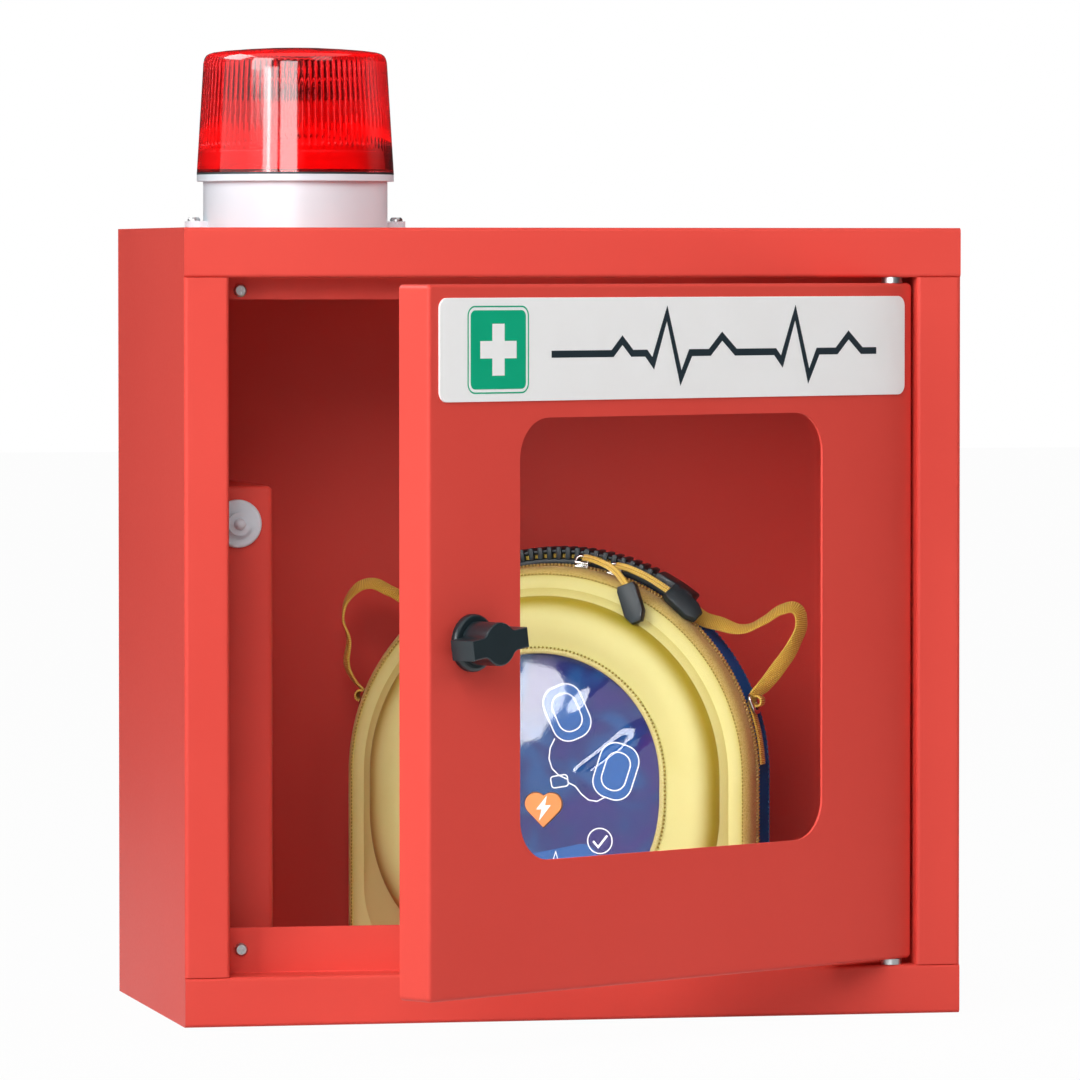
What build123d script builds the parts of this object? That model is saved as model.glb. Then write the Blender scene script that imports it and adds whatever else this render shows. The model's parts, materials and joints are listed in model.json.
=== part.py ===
"""Wall-mounted defibrillator station.

A folded sheet-steel cabinet with a glazed door, a strobe beacon on its roof, a
door alarm in its left side, and a defibrillator standing in its zipped carry
case.  Millimetres, +Z up, +Y towards the wall, +X to the right; the origin is
the middle of the cabinet's underside.
"""
from math import cos, pi, radians, sin, sqrt, tan
import os

from build123d import *

os.makedirs("parts", exist_ok=True)

# ---------------------------------------------------------------------------
# Driving dimensions: cabinet
# ---------------------------------------------------------------------------
cabinet_width = 400.0
cabinet_height = 400.0
cabinet_depth = 210.0
sheet = 1.2                    # thickness of all folded steel sheet
fold_outer = 2.0               # outside radius of a fold
rail_height = 25.0             # front face of the roof and floor panels
stile_width = 22.75            # front face of each side panel
rebate_depth = 22.0            # how far the door lips stand back from the front
top_lip = 11.0                 # height of the lip below the top rail
bottom_lip = 23.0              # height of the lip above the bottom rail
tab_length = 17.0              # side panel's tabs, screwed behind the lips
wall_hole_radius = 4.0
wall_hole_inset = 50.0          # wall holes from the back panel's outer edges
lip_screw_inset = 9.25         # lip screws, from the stile's inner edge
lip_screw_above = 12.0         # lower lip screws, above the bottom rail
lip_screw_below = 6.6          # upper lip screws, below the top rail

# Screws and fits
screw_radius = 2.0
screw_head_radius = 3.25
screw_head_height = 2.0
recess_width = 1.0
recess_length = 3.6
fit_gap = 0.1                  # radial or face clearance of a fitted piece
run_gap = 0.05                 # radial clearance of a turning or sliding shaft
free_gap = 0.3                 # clearance between pieces that move apart

# Door
hinge_inset = 11.75            # stile's inner edge to the hinge axis
hinge_setback = 6.0            # hinge axis behind the door's front face
door_open_angle = 34.0         # how far the door stands open at rest
door_side_gap = 2.25           # free edge of the closed door to the stile
door_hinge_edge = 9.0          # hinge axis to the hinged edge
door_gap = 3.0                 # door's top and bottom edges to the rails
door_thickness = 20.0
door_corner = 2.5
hinge_relief = 5.0             # cut from the hinged edge's back corner, to swing past the lips
window_corner = 20.0
window_inset = 62.6            # free edge of the door to the window
window_hinge_inset = 68.3      # window to the hinged edge
window_above_bottom = 64.5     # door's bottom edge to the window
window_below_sign = 8.2
pane_thickness = 3.0
pane_overlap = 14.0
clip_thickness = 1.5
clip_width = 12.0
clip_grip = 6.0                # how far a clip reaches over the pane
clip_foot = 9.0
stud_radius = 1.5
nut_flats_small = 5.5
nut_small_height = 2.4
sign_height = 50.0
sign_thickness = 1.0
sign_corner = 5.0
sign_inset = 6.5               # free edge of the door to the sign
sign_hinge_inset = 7.0         # sign to the hinged edge
sign_below_top = 6.5           # top edge of the door to the sign

# Hinges
pin_radius = 2.5
pin_head_radius = 4.0
pin_head_height = 2.0
pin_entry = 6.0                # how far a pin reaches into the door
washer_radius = 5.3
bush_radius = 3.4
bush_flange_radius = 4.0
bush_flange = 1.0
bush_length = 5.0

# Lock
lock_inset = 29.0              # free edge of the door to the lock axis
lock_below_middle = 0.3        # lock axis below the middle of the door
knob_tilt = 8.5                # wing's slope at rest, right end up
rosette_radius = 14.0
rosette_height = 3.5
barrel_radius = 8.0
barrel_length = 20.0           # behind the door's front face
barrel_proud = 1.5
lock_nut_flats = 22.0
lock_nut_height = 4.0
spindle_radius = 5.0
spindle_square = 7.0
knob_proud = 20.0              # knob's face above the door's face
hub_radius = 10.5
wing_half = 19.2
knob_round = 0.8
wing_thickness = 9.8
wing_flare = 5.0               # hollow corner between hub and wing
wing_foot = 5.4                # wing's underside above the door's face
knob_wall = 6.0                # knob's solid end, in front of the spindle
cam_length = 40.0
cam_width = 16.0
cam_thickness = 3.0
cam_run = 2.4                  # cam's front face behind the stile's return
cam_screw_radius = 2.0
cam_head_radius = 4.5
cam_head_height = 3.0
cam_screw_length = 9.0

# Alarm box, in the left of the cabinet
alarm_width = 53.4
alarm_height = 268.1
alarm_front_y = -50.0
alarm_corner = 3.0
button_height_z = 250.3        # alarm button's axis above the cabinet's underside
button_inset = 18.3            # right side of the alarm box to the button
flange_radius = 12.25
flange_thickness = 3.0
collar_radius = 6.0
collar_proud = 6.5
alarm_button_depth = 24.0
alarm_button_radius = 2.9
alarm_button_proud = 10.0
alarm_button_travel = 2.0
alarm_button_length = 22.0
alarm_nut_flats = 19.0
alarm_nut_height = 4.0
battery_size = (43.0, 97.0, 52.0)
terminal_size = (4.8, 0.8, 6.0)
battery_y = 35.0
alarm_board_size = (1.6, 80.0, 90.0)
board_standoff = 6.0
standoff_radius = 3.0
relay_size = (20.0, 16.0)
relay_spot = (-20.0, 20.0)
transformer_radius = 6.0
transformer_spot = (20.0, 28.0)
terminal_strip_size = (56.0, 10.0)
terminal_strip_spot = (0.0, -34.0)
tall_part_height = 11.0
alarm_chip = 14.0
alarm_chip_spot = (10.0, -4.0)
alarm_chip_height = 2.5
alarm_board_y = 25.0
alarm_board_z = 165.0
board_hole_inset = 6.0
siren_radius = 19.0
siren_rim = 2.0
siren_depth = 26.0
siren_y = 25.0
siren_z = 95.0
sound_hole_radius = 2.0
sound_hole_pitch = 8.0
magnet_size = (10.0, 36.0, 8.0)

# Beacon, on the roof
beacon_inset = 75.3            # cabinet's left side to the beacon's axis
beacon_y = 0.0
base_radius = 47.25
base_height = 24.0
base_wall = 2.5
beacon_flange_radius = 50.5
beacon_flange = 3.4
ear_reach = 57.3
ear_thickness = 3.6
ear_width = 15.0
ear_screw_reach = 52.7
gasket_height = 1.0
gasket_width = 9.0
lens_height = 64.0
lens_crown = 3.6               # rise of the lens's top above its shoulder
lens_top_radius = 46.8
lens_shoulder = 4.5
lens_wall = 2.5
beacon_board_radius = 40.0
beacon_board = 1.6
beacon_post = 12.0
beacon_post_radius = 3.0
beacon_post_ring = 34.0
driver_size = (14.0, 10.0)
driver_spots = ((-22.0, 14.0), (-20.0, -16.0))
coil_radius = 5.0
coil_spot = (6.0, 26.0)
driver_height = 9.0
holder_radius = 15.0
holder_height = 16.0
tube_radius = 2.5
tube_spacing = 16.0
tube_height = 36.0             # top of the flash tube above its holder
capacitor_radius = 7.0
capacitor_height = 20.0
capacitor_offset = 26.0
grommet_radius = 9.0
grommet_hole_radius = 6.0
grommet_bore_radius = 3.5
grommet_flange = 1.5
grommet_offset = 22.0          # grommet in front of the beacon's axis
beacon_screw_length = 12.0

# Carry case
case_x = 12.6
case_y = 10.0
case_yaw = 27.0                # the case is turned towards the opening
case_arch_radius = 107.3
case_arch_height = 115.9       # arch centre above the case's foot
case_corner = 25.0
case_wall = 3.0
seat_width = 60.0
seat_depth = 28.0
zip_half = 3.0                 # half the width of the zip
zip_proud = 0.4
zip_tape = 4.0
case_back_depth = 38.0
case_back_edge = 8.0
band_front = 18.0              # front of the outer band, from the zip plane
band_edge = 9.0
dome_radius = 94.0
dome_foot = 104.0              # below the arch centre
dome_corner = 80.0
dome_edge = 9.0
case_front_depth = 33.0
case_window_radius = 63.7
case_window_foot = 75.0
case_window_corner = 61.0
case_sheet = 0.8               # clear window sheet
case_sheet_lap = 8.0
trim_width = 3.2
trim_height = 1.0

# Handle, straps and rings
grip_gap = 0.7
grip_thickness = 9.3
grip_width = 16.0
grip_back = 23.0               # back of the grip behind the zip plane
grip_angle = 76.0
grip_slot = 2.0
grip_slot_depth = 2.6
grip_slot_pitch = 2.5          # degrees
grip_slots = 22
webbing = 8.0
webbing_thickness = 1.6
strap_back = 13.0              # rear edge of the webbing behind the zip plane
ring_wire = 1.1
ring_width = 12.0
ring_drop = 9.0
ring_angle = 19.6              # ring's place on the arch, above its springing
tab_foot_angle = 3.0           # tab's lower end on the arch

# The two slack strap loops between the grip's ends and the rings, as
# (right, up) from the arch centre.
right_loop = [(86, 78), (98, 75.5), (109, 80), (119, 86), (126, 86.5), (129, 80), (125, 68), (117, 56)]
left_loop = [(-79, 87), (-90, 93), (-102, 97), (-112, 91), (-116, 80), (-113, 67), (-114, 54)]

# Zip sliders and their pulls
slider_left_angle = 7.9        # clockwise from the top of the arch
slider_right_angle = 17.2
slider_length = 10.0
slider_width = 8.4
slider_height = 4.0
bail_wire = 0.8
bail_radius = 2.6
pull_cord_radius = 1.7
pull_length = 21.0
pull_width = 11.0
pull_thickness = 6.0
pull_edge = 1.2
# Routes of the pull cords, as (right, up, forward) from the arch centre
left_cord = [
    (17.5, 114.8, 2.5), (23, 113.8, 9), (31, 112.5, 15.5), (38.5, 110.3, 20.2),
    (43.8, 106.5, 21.4), (46.3, 100.7, 21.4),
]
right_cord = [(36, 110.5, 2.5), (42, 108.8, 6.5), (50, 105, 7.5), (57.5, 99.8, 6.5), (64.5, 93.5, 5)]

# Defibrillator
aed_radius = 86.0
aed_front = 24.0
aed_back = 24.0
aed_edge = 5.0
aed_wall = 2.5
overlay_radius = 70.0
overlay_foot = 82.0
overlay_corner = 66.0
overlay_thickness = 0.5
shock_x = 0.5
shock_y = -18.5
heart_side = 11.5
power_x = -30.0
power_y = -46.0
power_radius = 8.0
button_flange = 1.8
button_flange_margin = 2.0
button_proud = 1.0
aed_board = 1.6
aed_chip_size = (24.0, 18.0)
aed_chip_spots = ((-34.0, 30.0), (20.0, -60.0))
aed_chip_height = 4.0
aed_board_z = 6.0
aed_board_gap = 1.0
aed_switch = 6.0
button_travel = 0.8
pack_size = (84.0, 60.0, 20.0)
pack_gap = 2.5
pack_rise = 12.0
speaker_radius = 18.0
speaker_height = 8.0
speaker_spot = (40.0, 20.0)
aed_capacitor_radius = 13.0
aed_capacitor_length = 60.0
aed_capacitor_y = 25.0

# ---------------------------------------------------------------------------
# Sizes and places worked out from the driving dimensions
# ---------------------------------------------------------------------------
fold_middle = fold_outer - sheet / 2
half_width = cabinet_width / 2
inner_x = half_width - sheet
front_y = -cabinet_depth / 2
back_y = cabinet_depth / 2
inner_back_y = back_y - sheet
roof_z = cabinet_height
inner_top_z = cabinet_height - sheet
top_rail_z = cabinet_height - rail_height
stile_x = half_width - stile_width
lip_y = front_y + rebate_depth
tab_y = lip_y + sheet
return_y = tab_y + sheet
screw_x = stile_x - lip_screw_inset
screw_low_z = rail_height + lip_screw_above
screw_high_z = top_rail_z - lip_screw_below

hinge_x = stile_x - hinge_inset
hinge_y = front_y + hinge_setback
door_turn = radians(door_open_angle)
door_plane = Plane(
    origin=(hinge_x, hinge_y, 0),
    x_dir=(cos(door_turn), sin(door_turn), 0),
    z_dir=(sin(door_turn), -cos(door_turn), 0),
)
door_face = hinge_setback
door_inside = door_face - sheet
door_reach = hinge_x + stile_x - door_side_gap
door_width = door_reach + door_hinge_edge
door_mid_x = (door_hinge_edge - door_reach) / 2
door_bottom_z = rail_height + door_gap
door_top_z = top_rail_z - door_gap
door_height = door_top_z - door_bottom_z
door_mid_z = (door_top_z + door_bottom_z) / 2
sign_width = door_width - sign_inset - sign_hinge_inset
sign_mid_x = sign_inset + sign_width / 2 - door_reach
sign_mid_z = door_top_z - sign_below_top - sign_height / 2
window_width = door_width - window_inset - window_hinge_inset
window_bottom_z = door_bottom_z + window_above_bottom
window_top_z = sign_mid_z - sign_height / 2 - window_below_sign
window_height = window_top_z - window_bottom_z
window_mid_height = (window_top_z + window_bottom_z) / 2
window_mid_x = window_inset + window_width / 2 - door_reach
pane_width = window_width + 2 * pane_overlap
pane_height = window_height + 2 * pane_overlap
pane_back = door_inside - pane_thickness
lock_x = lock_inset - door_reach
lock_height = door_mid_z - lock_below_middle

alarm_right_x = alarm_width - inner_x
button_x = alarm_right_x - button_inset

beacon_x = beacon_inset - half_width
beacon_board_z = roof_z + base_wall + beacon_post
flange_z = roof_z + base_height
flange_top_z = flange_z + beacon_flange
lens_z = flange_top_z + gasket_height
holder_top_z = beacon_board_z + beacon_board + holder_height
grommet_y = beacon_y - grommet_offset

case_foot_z = sheet + free_gap + zip_proud
arch_z = case_foot_z + case_arch_height
case_turn = radians(case_yaw)
case_right = Vector(cos(case_turn), -sin(case_turn), 0)
case_normal = Vector(-sin(case_turn), -cos(case_turn), 0)
case_plane = Plane(origin=(case_x, case_y, arch_z), x_dir=case_right, z_dir=case_normal)
grip_inner = case_arch_radius + grip_gap
grip_outer = grip_inner + grip_thickness
aed_foot = dome_foot - 2 * case_wall - free_gap
aed_corner = dome_corner - 2 * case_wall - 2 * free_gap
seat_height = case_arch_height - case_wall - aed_foot + fit_gap


def arch(radius, foot, corner, grow=0.0):
    """Half circle on straight sides with rounded bottom corners, made into a face."""
    size = radius + grow
    bottom = -foot - grow
    with BuildLine() as outline:
        crown = CenterArc((0, 0), size, 0, 180)
        Polyline(crown @ 1, (-size, bottom), (size, bottom), crown @ 0)
        fillet(outline.vertices().group_by(Axis.Y)[0], corner + grow)
    make_face(outline.edges())


def heart(side, mode=Mode.ADD):
    """Heart: a square on its corner with a round on each upper side."""
    lobe = side * sqrt(2) / 4
    Rectangle(side, side, rotation=45, mode=mode)
    with Locations((-lobe, lobe), (lobe, lobe)):
        Circle(side / 2, mode=mode)


def place_on_arch(angle):
    """Plane on the case's arch: x runs clockwise along it, y outwards, z to the front."""
    turn = radians(angle)
    along = case_right * cos(turn) - Vector(0, 0, 1) * sin(turn)
    return Plane(origin=case_plane.origin, x_dir=along, z_dir=case_normal)


def screws(spots, length):
    """Pan-head screws in the current part: heads up the local z axis, cross recessed."""
    rim = screw_head_height / 2
    foot = (Align.CENTER, Align.CENTER, Align.MIN)
    with Locations(*spots):
        Cylinder(screw_radius, length, align=(Align.CENTER, Align.CENTER, Align.MAX))
        Cylinder(screw_head_radius, rim, align=foot)
    with Locations(*[spot * Pos(0, 0, rim) for spot in spots]):
        Cone(screw_head_radius, screw_head_radius - rim * 0.8, rim, align=foot)
        Box(recess_length, recess_width, screw_head_height, align=foot, mode=Mode.SUBTRACT)
        Box(recess_width, recess_length, screw_head_height, align=foot, mode=Mode.SUBTRACT)


def upright(x, y, z):
    """Place with its z axis facing the front of the cabinet."""
    return Location(Plane(origin=(x, y, z), x_dir=(1, 0, 0), z_dir=(0, -1, 0)))


# ---------------------------------------------------------------------------
# Cabinet
# ---------------------------------------------------------------------------
def rail_panel(base_z, up, lip):
    """Floor or roof panel: sheet, front rail, return and door lip, folded from one sheet."""
    middle = sheet / 2
    route = [
        (back_y, middle),
        (front_y + middle, middle),
        (front_y + middle, rail_height - middle),
        (lip_y + middle, rail_height - middle),
        (lip_y + middle, rail_height + lip),
    ]
    with BuildPart() as panel:
        with BuildSketch(Plane.YZ.offset(-half_width)):
            with BuildLine():
                FilletPolyline([(y, base_z + up * z) for y, z in route], radius=fold_middle)
            trace(line_width=sheet)
        extrude(amount=cabinet_width)
        for side in (-1, 1):
            # The side wall stands inside the sheet and behind the rail
            with Locations((side * half_width, (front_y + sheet + back_y) / 2, base_z + up * rail_height)):
                Box(
                    2 * sheet, back_y - front_y - sheet, 2 * (rail_height - sheet),
                    mode=Mode.SUBTRACT,
                )
            # The lip stops at the stile
            with Locations((side * (stile_x + stile_width), lip_y, base_z + up * (rail_height + lip))):
                Box(2 * stile_width, 4 * sheet, 2 * lip, mode=Mode.SUBTRACT)
    return panel


def side_panel(side):
    """Side wall with its stile, the stile's return and the tabs behind the lips."""
    wall_x = side * (half_width - sheet / 2)
    edge_x = side * (stile_x + sheet / 2)
    with BuildPart() as panel:
        with BuildSketch(Plane.XY.offset(rail_height)):
            with BuildLine():
                FilletPolyline(
                    (wall_x, back_y),
                    (wall_x, front_y + sheet / 2),
                    (edge_x, front_y + sheet / 2),
                    (edge_x, return_y),
                    radius=fold_middle,
                )
            trace(line_width=sheet)
        extrude(amount=cabinet_height - 2 * rail_height)
        # Behind the rails the wall runs on to the floor and the roof
        with BuildSketch(Plane.YZ.offset(side * inner_x)):
            with Locations(((front_y + sheet + back_y) / 2, cabinet_height / 2)):
                Rectangle(back_y - front_y - sheet, cabinet_height - 2 * sheet)
        extrude(amount=side * sheet)
        # Tabs turned in behind the lips
        for low_z, height in ((rail_height, bottom_lip), (top_rail_z - top_lip, top_lip)):
            tab_mid_x = side * (stile_x - tab_length / 2 + sheet / 2)
            with Locations((tab_mid_x, tab_y + sheet / 2, low_z + height / 2)):
                Box(tab_length + sheet, sheet, height)
    return panel


screw_spots = [(side * screw_x, z) for side in (-1, 1) for z in (screw_low_z, screw_high_z)]
wall_hole_run = cabinet_width - 2 * wall_hole_inset
wall_hole_rise = cabinet_height - 2 * wall_hole_inset

with BuildPart() as bottom_panel:
    add(rail_panel(0, 1, bottom_lip))
    with Locations(*[upright(x, lip_y, z) for x, z in screw_spots]):
        Cylinder(screw_radius + fit_gap, 4 * sheet, mode=Mode.SUBTRACT)
    with Locations((hinge_x, hinge_y, rail_height)):
        Cylinder(pin_radius, 4 * sheet, mode=Mode.SUBTRACT)
bottom_panel.part.label = "bottom_panel"
export_step(bottom_panel.part, "parts/bottom_panel.step")

with BuildPart() as top_panel:
    add(rail_panel(cabinet_height, -1, top_lip))
    with Locations(*[upright(x, lip_y, z) for x, z in screw_spots]):
        Cylinder(screw_radius + fit_gap, 4 * sheet, mode=Mode.SUBTRACT)
    with Locations((hinge_x, hinge_y, top_rail_z)):
        Cylinder(pin_radius, 4 * sheet, mode=Mode.SUBTRACT)
    with Locations((beacon_x, grommet_y, inner_top_z)):
        Cylinder(grommet_hole_radius, 4 * sheet, mode=Mode.SUBTRACT)
    with Locations(*[(beacon_x + side * ear_screw_reach, beacon_y, inner_top_z) for side in (-1, 1)]):
        Cylinder(screw_radius, 4 * sheet, mode=Mode.SUBTRACT)
top_panel.part.label = "top_panel"
export_step(top_panel.part, "parts/top_panel.step")

board_bolts = [
    (
        alarm_board_y + y * (alarm_board_size[1] / 2 - board_hole_inset),
        alarm_board_z + z * (alarm_board_size[2] / 2 - board_hole_inset),
    )
    for y in (-1, 1)
    for z in (-1, 1)
]
with BuildPart() as left_side_panel:
    add(side_panel(-1))
    with Locations(*[upright(x, tab_y, z) for x, z in screw_spots]):
        Cylinder(screw_radius, 4 * sheet, mode=Mode.SUBTRACT)
    # Standoffs pressed into the wall for the alarm's circuit board
    with BuildSketch(Plane.YZ.offset(-inner_x)):
        with Locations(*board_bolts):
            Circle(standoff_radius)
    extrude(amount=board_standoff)
left_side_panel.part.label = "left_side_panel"
export_step(left_side_panel.part, "parts/left_side_panel.step")

with BuildPart() as right_side_panel:
    add(side_panel(1))
    with Locations(*[upright(x, tab_y, z) for x, z in screw_spots]):
        Cylinder(screw_radius, 4 * sheet, mode=Mode.SUBTRACT)
right_side_panel.part.label = "right_side_panel"
export_step(right_side_panel.part, "parts/right_side_panel.step")

with BuildPart() as back_panel:
    with BuildSketch(Plane.XZ.offset(-back_y)):
        with Locations((0, cabinet_height / 2)):
            Rectangle(2 * inner_x, cabinet_height - 2 * sheet)
            with GridLocations(wall_hole_run, wall_hole_rise, 2, 2):
                Circle(wall_hole_radius, mode=Mode.SUBTRACT)
    extrude(amount=sheet)
back_panel.part.label = "back_panel"
export_step(back_panel.part, "parts/back_panel.step")

with BuildPart() as lip_screws:
    screws([upright(x, lip_y, z) for x, z in screw_spots], 4 * sheet)
lip_screws.part.label = "lip_screws"
export_step(lip_screws.part, "parts/lip_screws.step")

with BuildPart() as hinge_pins:
    for rail_z, up in ((rail_height, 1), (top_rail_z, -1)):
        head_z = rail_z - up * sheet
        tip_z = rail_z + up * (door_gap + pin_entry)
        with Locations((hinge_x, hinge_y, (head_z + tip_z) / 2)):
            Cylinder(pin_radius, abs(tip_z - head_z))
        with Locations((hinge_x, hinge_y, head_z - up * pin_head_height / 2)):
            Cylinder(pin_head_radius, pin_head_height)
hinge_pins.part.label = "hinge_pins"
export_step(hinge_pins.part, "parts/hinge_pins.step")

washer_height = door_gap - fit_gap
with BuildPart() as hinge_washers:
    for rail_z, up in ((rail_height, 1), (top_rail_z, -1)):
        with Locations((hinge_x, hinge_y, rail_z + up * washer_height / 2)):
            Cylinder(washer_radius, washer_height)
            Cylinder(pin_radius, washer_height, mode=Mode.SUBTRACT)
hinge_washers.part.label = "hinge_washers"
export_step(hinge_washers.part, "parts/hinge_washers.step")

# ---------------------------------------------------------------------------
# Door alarm
# ---------------------------------------------------------------------------
button_face = Plane(
    origin=(button_x, alarm_front_y, button_height_z), x_dir=(1, 0, 0), z_dir=(0, -1, 0)
)
siren_plane = Plane(origin=(alarm_right_x - sheet, siren_y, siren_z), x_dir=(0, 1, 0), z_dir=(-1, 0, 0))

with BuildPart() as alarm_box_cover:
    with BuildSketch(Plane.XY.offset(sheet)):
        with Locations(((alarm_right_x - inner_x) / 2, (alarm_front_y + inner_back_y) / 2)):
            Rectangle(alarm_width, inner_back_y - alarm_front_y)
    extrude(amount=alarm_height)
    corner_edges = (
        alarm_box_cover.edges().filter_by(Axis.X).group_by(Axis.Y)[0].sort_by(Axis.Z)[-1:]
        + alarm_box_cover.edges().filter_by(Axis.Y).group_by(Axis.X)[-1].sort_by(Axis.Z)[-1:]
        + alarm_box_cover.edges().filter_by(Axis.Z).group_by(Axis.X)[-1].sort_by(Axis.Y)[:1]
    )
    fillet(corner_edges, alarm_corner)
    open_sides = [
        alarm_box_cover.faces().sort_by(Axis.X)[0],
        alarm_box_cover.faces().sort_by(Axis.Y)[-1],
        alarm_box_cover.faces().sort_by(Axis.Z)[0],
    ]
    offset(amount=-sheet, openings=open_sides)
    with BuildSketch(button_face.offset(sheet)):
        Circle(collar_radius)
    extrude(amount=-3 * sheet, mode=Mode.SUBTRACT)
    with BuildSketch(siren_plane.offset(-2 * sheet)):
        with GridLocations(sound_hole_pitch, sound_hole_pitch, 3, 3):
            Circle(sound_hole_radius)
    extrude(amount=3 * sheet, mode=Mode.SUBTRACT)
alarm_box_cover.part.label = "alarm_box_cover"
export_step(alarm_box_cover.part, "parts/alarm_box_cover.step")

with BuildPart() as alarm_siren:
    with BuildSketch(siren_plane):
        Circle(siren_radius + siren_rim)
        Circle(siren_radius - siren_rim, mode=Mode.SUBTRACT)
    extrude(amount=siren_rim)
    with BuildSketch(siren_plane.offset(siren_rim)):
        Circle(siren_radius)
    extrude(amount=siren_depth)
alarm_siren.part.label = "alarm_siren"
export_step(alarm_siren.part, "parts/alarm_siren.step")

battery_x = (alarm_right_x - sheet - inner_x) / 2
with BuildPart() as alarm_battery:
    with Locations((battery_x, battery_y, sheet)):
        Box(*battery_size, align=(Align.CENTER, Align.CENTER, Align.MIN))
    fillet(alarm_battery.edges().filter_by(Axis.Z), fold_outer)
    with Locations((battery_x, battery_y, sheet + battery_size[2])):
        with GridLocations(battery_size[0] / 2, 0, 2, 1):
            Box(*terminal_size, align=(Align.CENTER, Align.CENTER, Align.MIN))
alarm_battery.part.label = "alarm_battery"
export_step(alarm_battery.part, "parts/alarm_battery.step")

board_plane = Plane(
    origin=(board_standoff - inner_x, alarm_board_y, alarm_board_z), x_dir=(0, 1, 0), z_dir=(1, 0, 0)
)
with BuildPart() as alarm_circuit_board:
    with BuildSketch(board_plane):
        Rectangle(alarm_board_size[1], alarm_board_size[2])
    extrude(amount=alarm_board_size[0])
    with BuildSketch(board_plane.offset(alarm_board_size[0])):
        with Locations(relay_spot):
            Rectangle(*relay_size)
        with Locations(transformer_spot):
            Circle(transformer_radius)
        with Locations(terminal_strip_spot):
            Rectangle(*terminal_strip_size)
    extrude(amount=tall_part_height)
    with BuildSketch(board_plane.offset(alarm_board_size[0])):
        with Locations(alarm_chip_spot):
            Rectangle(alarm_chip, alarm_chip)
    extrude(amount=alarm_chip_height)
alarm_circuit_board.part.label = "alarm_circuit_board"
export_step(alarm_circuit_board.part, "parts/alarm_circuit_board.step")

with BuildPart() as alarm_button_housing:
    with BuildSketch(button_face):
        Circle(flange_radius)
    extrude(amount=flange_thickness)
    fillet(alarm_button_housing.edges().sort_by(Axis.Y)[0], flange_thickness * 0.6)
    with BuildSketch(button_face.offset(-alarm_button_depth)):
        Circle(collar_radius - fit_gap)
    extrude(amount=alarm_button_depth + collar_proud)
    bore_end = alarm_button_proud - alarm_button_length - alarm_button_travel - free_gap
    with BuildSketch(button_face.offset(collar_proud)):
        Circle(alarm_button_radius + run_gap)
    extrude(amount=bore_end - collar_proud, mode=Mode.SUBTRACT)
alarm_button_housing.part.label = "alarm_button_housing"
export_step(alarm_button_housing.part, "parts/alarm_button_housing.step")

with BuildPart() as alarm_button_nut:
    with BuildSketch(button_face.offset(-sheet)):
        RegularPolygon(alarm_nut_flats / 2, 6, major_radius=False)
        Circle(collar_radius, mode=Mode.SUBTRACT)
    extrude(amount=-alarm_nut_height)
alarm_button_nut.part.label = "alarm_button_nut"
export_step(alarm_button_nut.part, "parts/alarm_button_nut.step")

with BuildPart() as alarm_button:
    with BuildSketch(button_face.offset(alarm_button_proud)):
        Circle(alarm_button_radius)
    extrude(amount=-alarm_button_length)
    fillet(alarm_button.edges().sort_by(Axis.Y)[0], alarm_button_radius * 0.9)
alarm_button.part.label = "alarm_button"
export_step(alarm_button.part, "parts/alarm_button.step")

# ---------------------------------------------------------------------------
# Beacon
# ---------------------------------------------------------------------------
beacon_floor = Plane.XY.offset(roof_z).move(Location((beacon_x, beacon_y, 0)))
grommet_plane = Plane.XY.offset(inner_top_z - grommet_flange).move(Location((beacon_x, grommet_y, 0)))

with BuildPart() as beacon_base:
    with BuildSketch(beacon_floor):
        Circle(base_radius)
    extrude(amount=base_height)
    with BuildSketch(beacon_floor.offset(base_height)):
        Circle(beacon_flange_radius)
    extrude(amount=beacon_flange)
    with BuildSketch(beacon_floor):
        SlotOverall(2 * ear_reach, ear_width)
    extrude(amount=ear_thickness)
    with BuildSketch(beacon_floor.offset(base_wall)):
        Circle(base_radius - base_wall)
    extrude(amount=base_height + beacon_flange, mode=Mode.SUBTRACT)
    with BuildSketch(beacon_floor.offset(base_wall)):
        with PolarLocations(beacon_post_ring, 3, start_angle=30):
            Circle(beacon_post_radius)
    extrude(amount=beacon_post)
    with BuildSketch(beacon_floor):
        with Locations((ear_screw_reach, 0), (-ear_screw_reach, 0)):
            Circle(screw_radius + fit_gap)
        with Locations((0, -grommet_offset)):
            Circle(grommet_radius + fit_gap)
    extrude(amount=ear_thickness, mode=Mode.SUBTRACT)
beacon_base.part.label = "beacon_base"
export_step(beacon_base.part, "parts/beacon_base.step")

with BuildPart() as roof_grommet:
    with BuildSketch(grommet_plane):
        Circle(grommet_radius)
    extrude(amount=2 * grommet_flange + sheet)
    with BuildSketch(grommet_plane.offset(grommet_flange)):
        Circle(grommet_radius)
        Circle(grommet_hole_radius, mode=Mode.SUBTRACT)
    extrude(amount=sheet, mode=Mode.SUBTRACT)
    with BuildSketch(grommet_plane):
        Circle(grommet_bore_radius)
    extrude(amount=2 * grommet_flange + sheet, mode=Mode.SUBTRACT)
roof_grommet.part.label = "roof_grommet"
export_step(roof_grommet.part, "parts/roof_grommet.step")

heads_z = roof_z + ear_thickness
ear_spots = [Location((beacon_x + side * ear_screw_reach, beacon_y, heads_z)) for side in (-1, 1)]
with BuildPart() as beacon_screws:
    screws(ear_spots, beacon_screw_length)
beacon_screws.part.label = "beacon_screws"
export_step(beacon_screws.part, "parts/beacon_screws.step")

with BuildPart() as beacon_gasket:
    with BuildSketch(beacon_floor.offset(base_height + beacon_flange)):
        Circle(beacon_flange_radius)
        Circle(beacon_flange_radius - gasket_width, mode=Mode.SUBTRACT)
    extrude(amount=gasket_height)
beacon_gasket.part.label = "beacon_gasket"
export_step(beacon_gasket.part, "parts/beacon_gasket.step")

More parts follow.
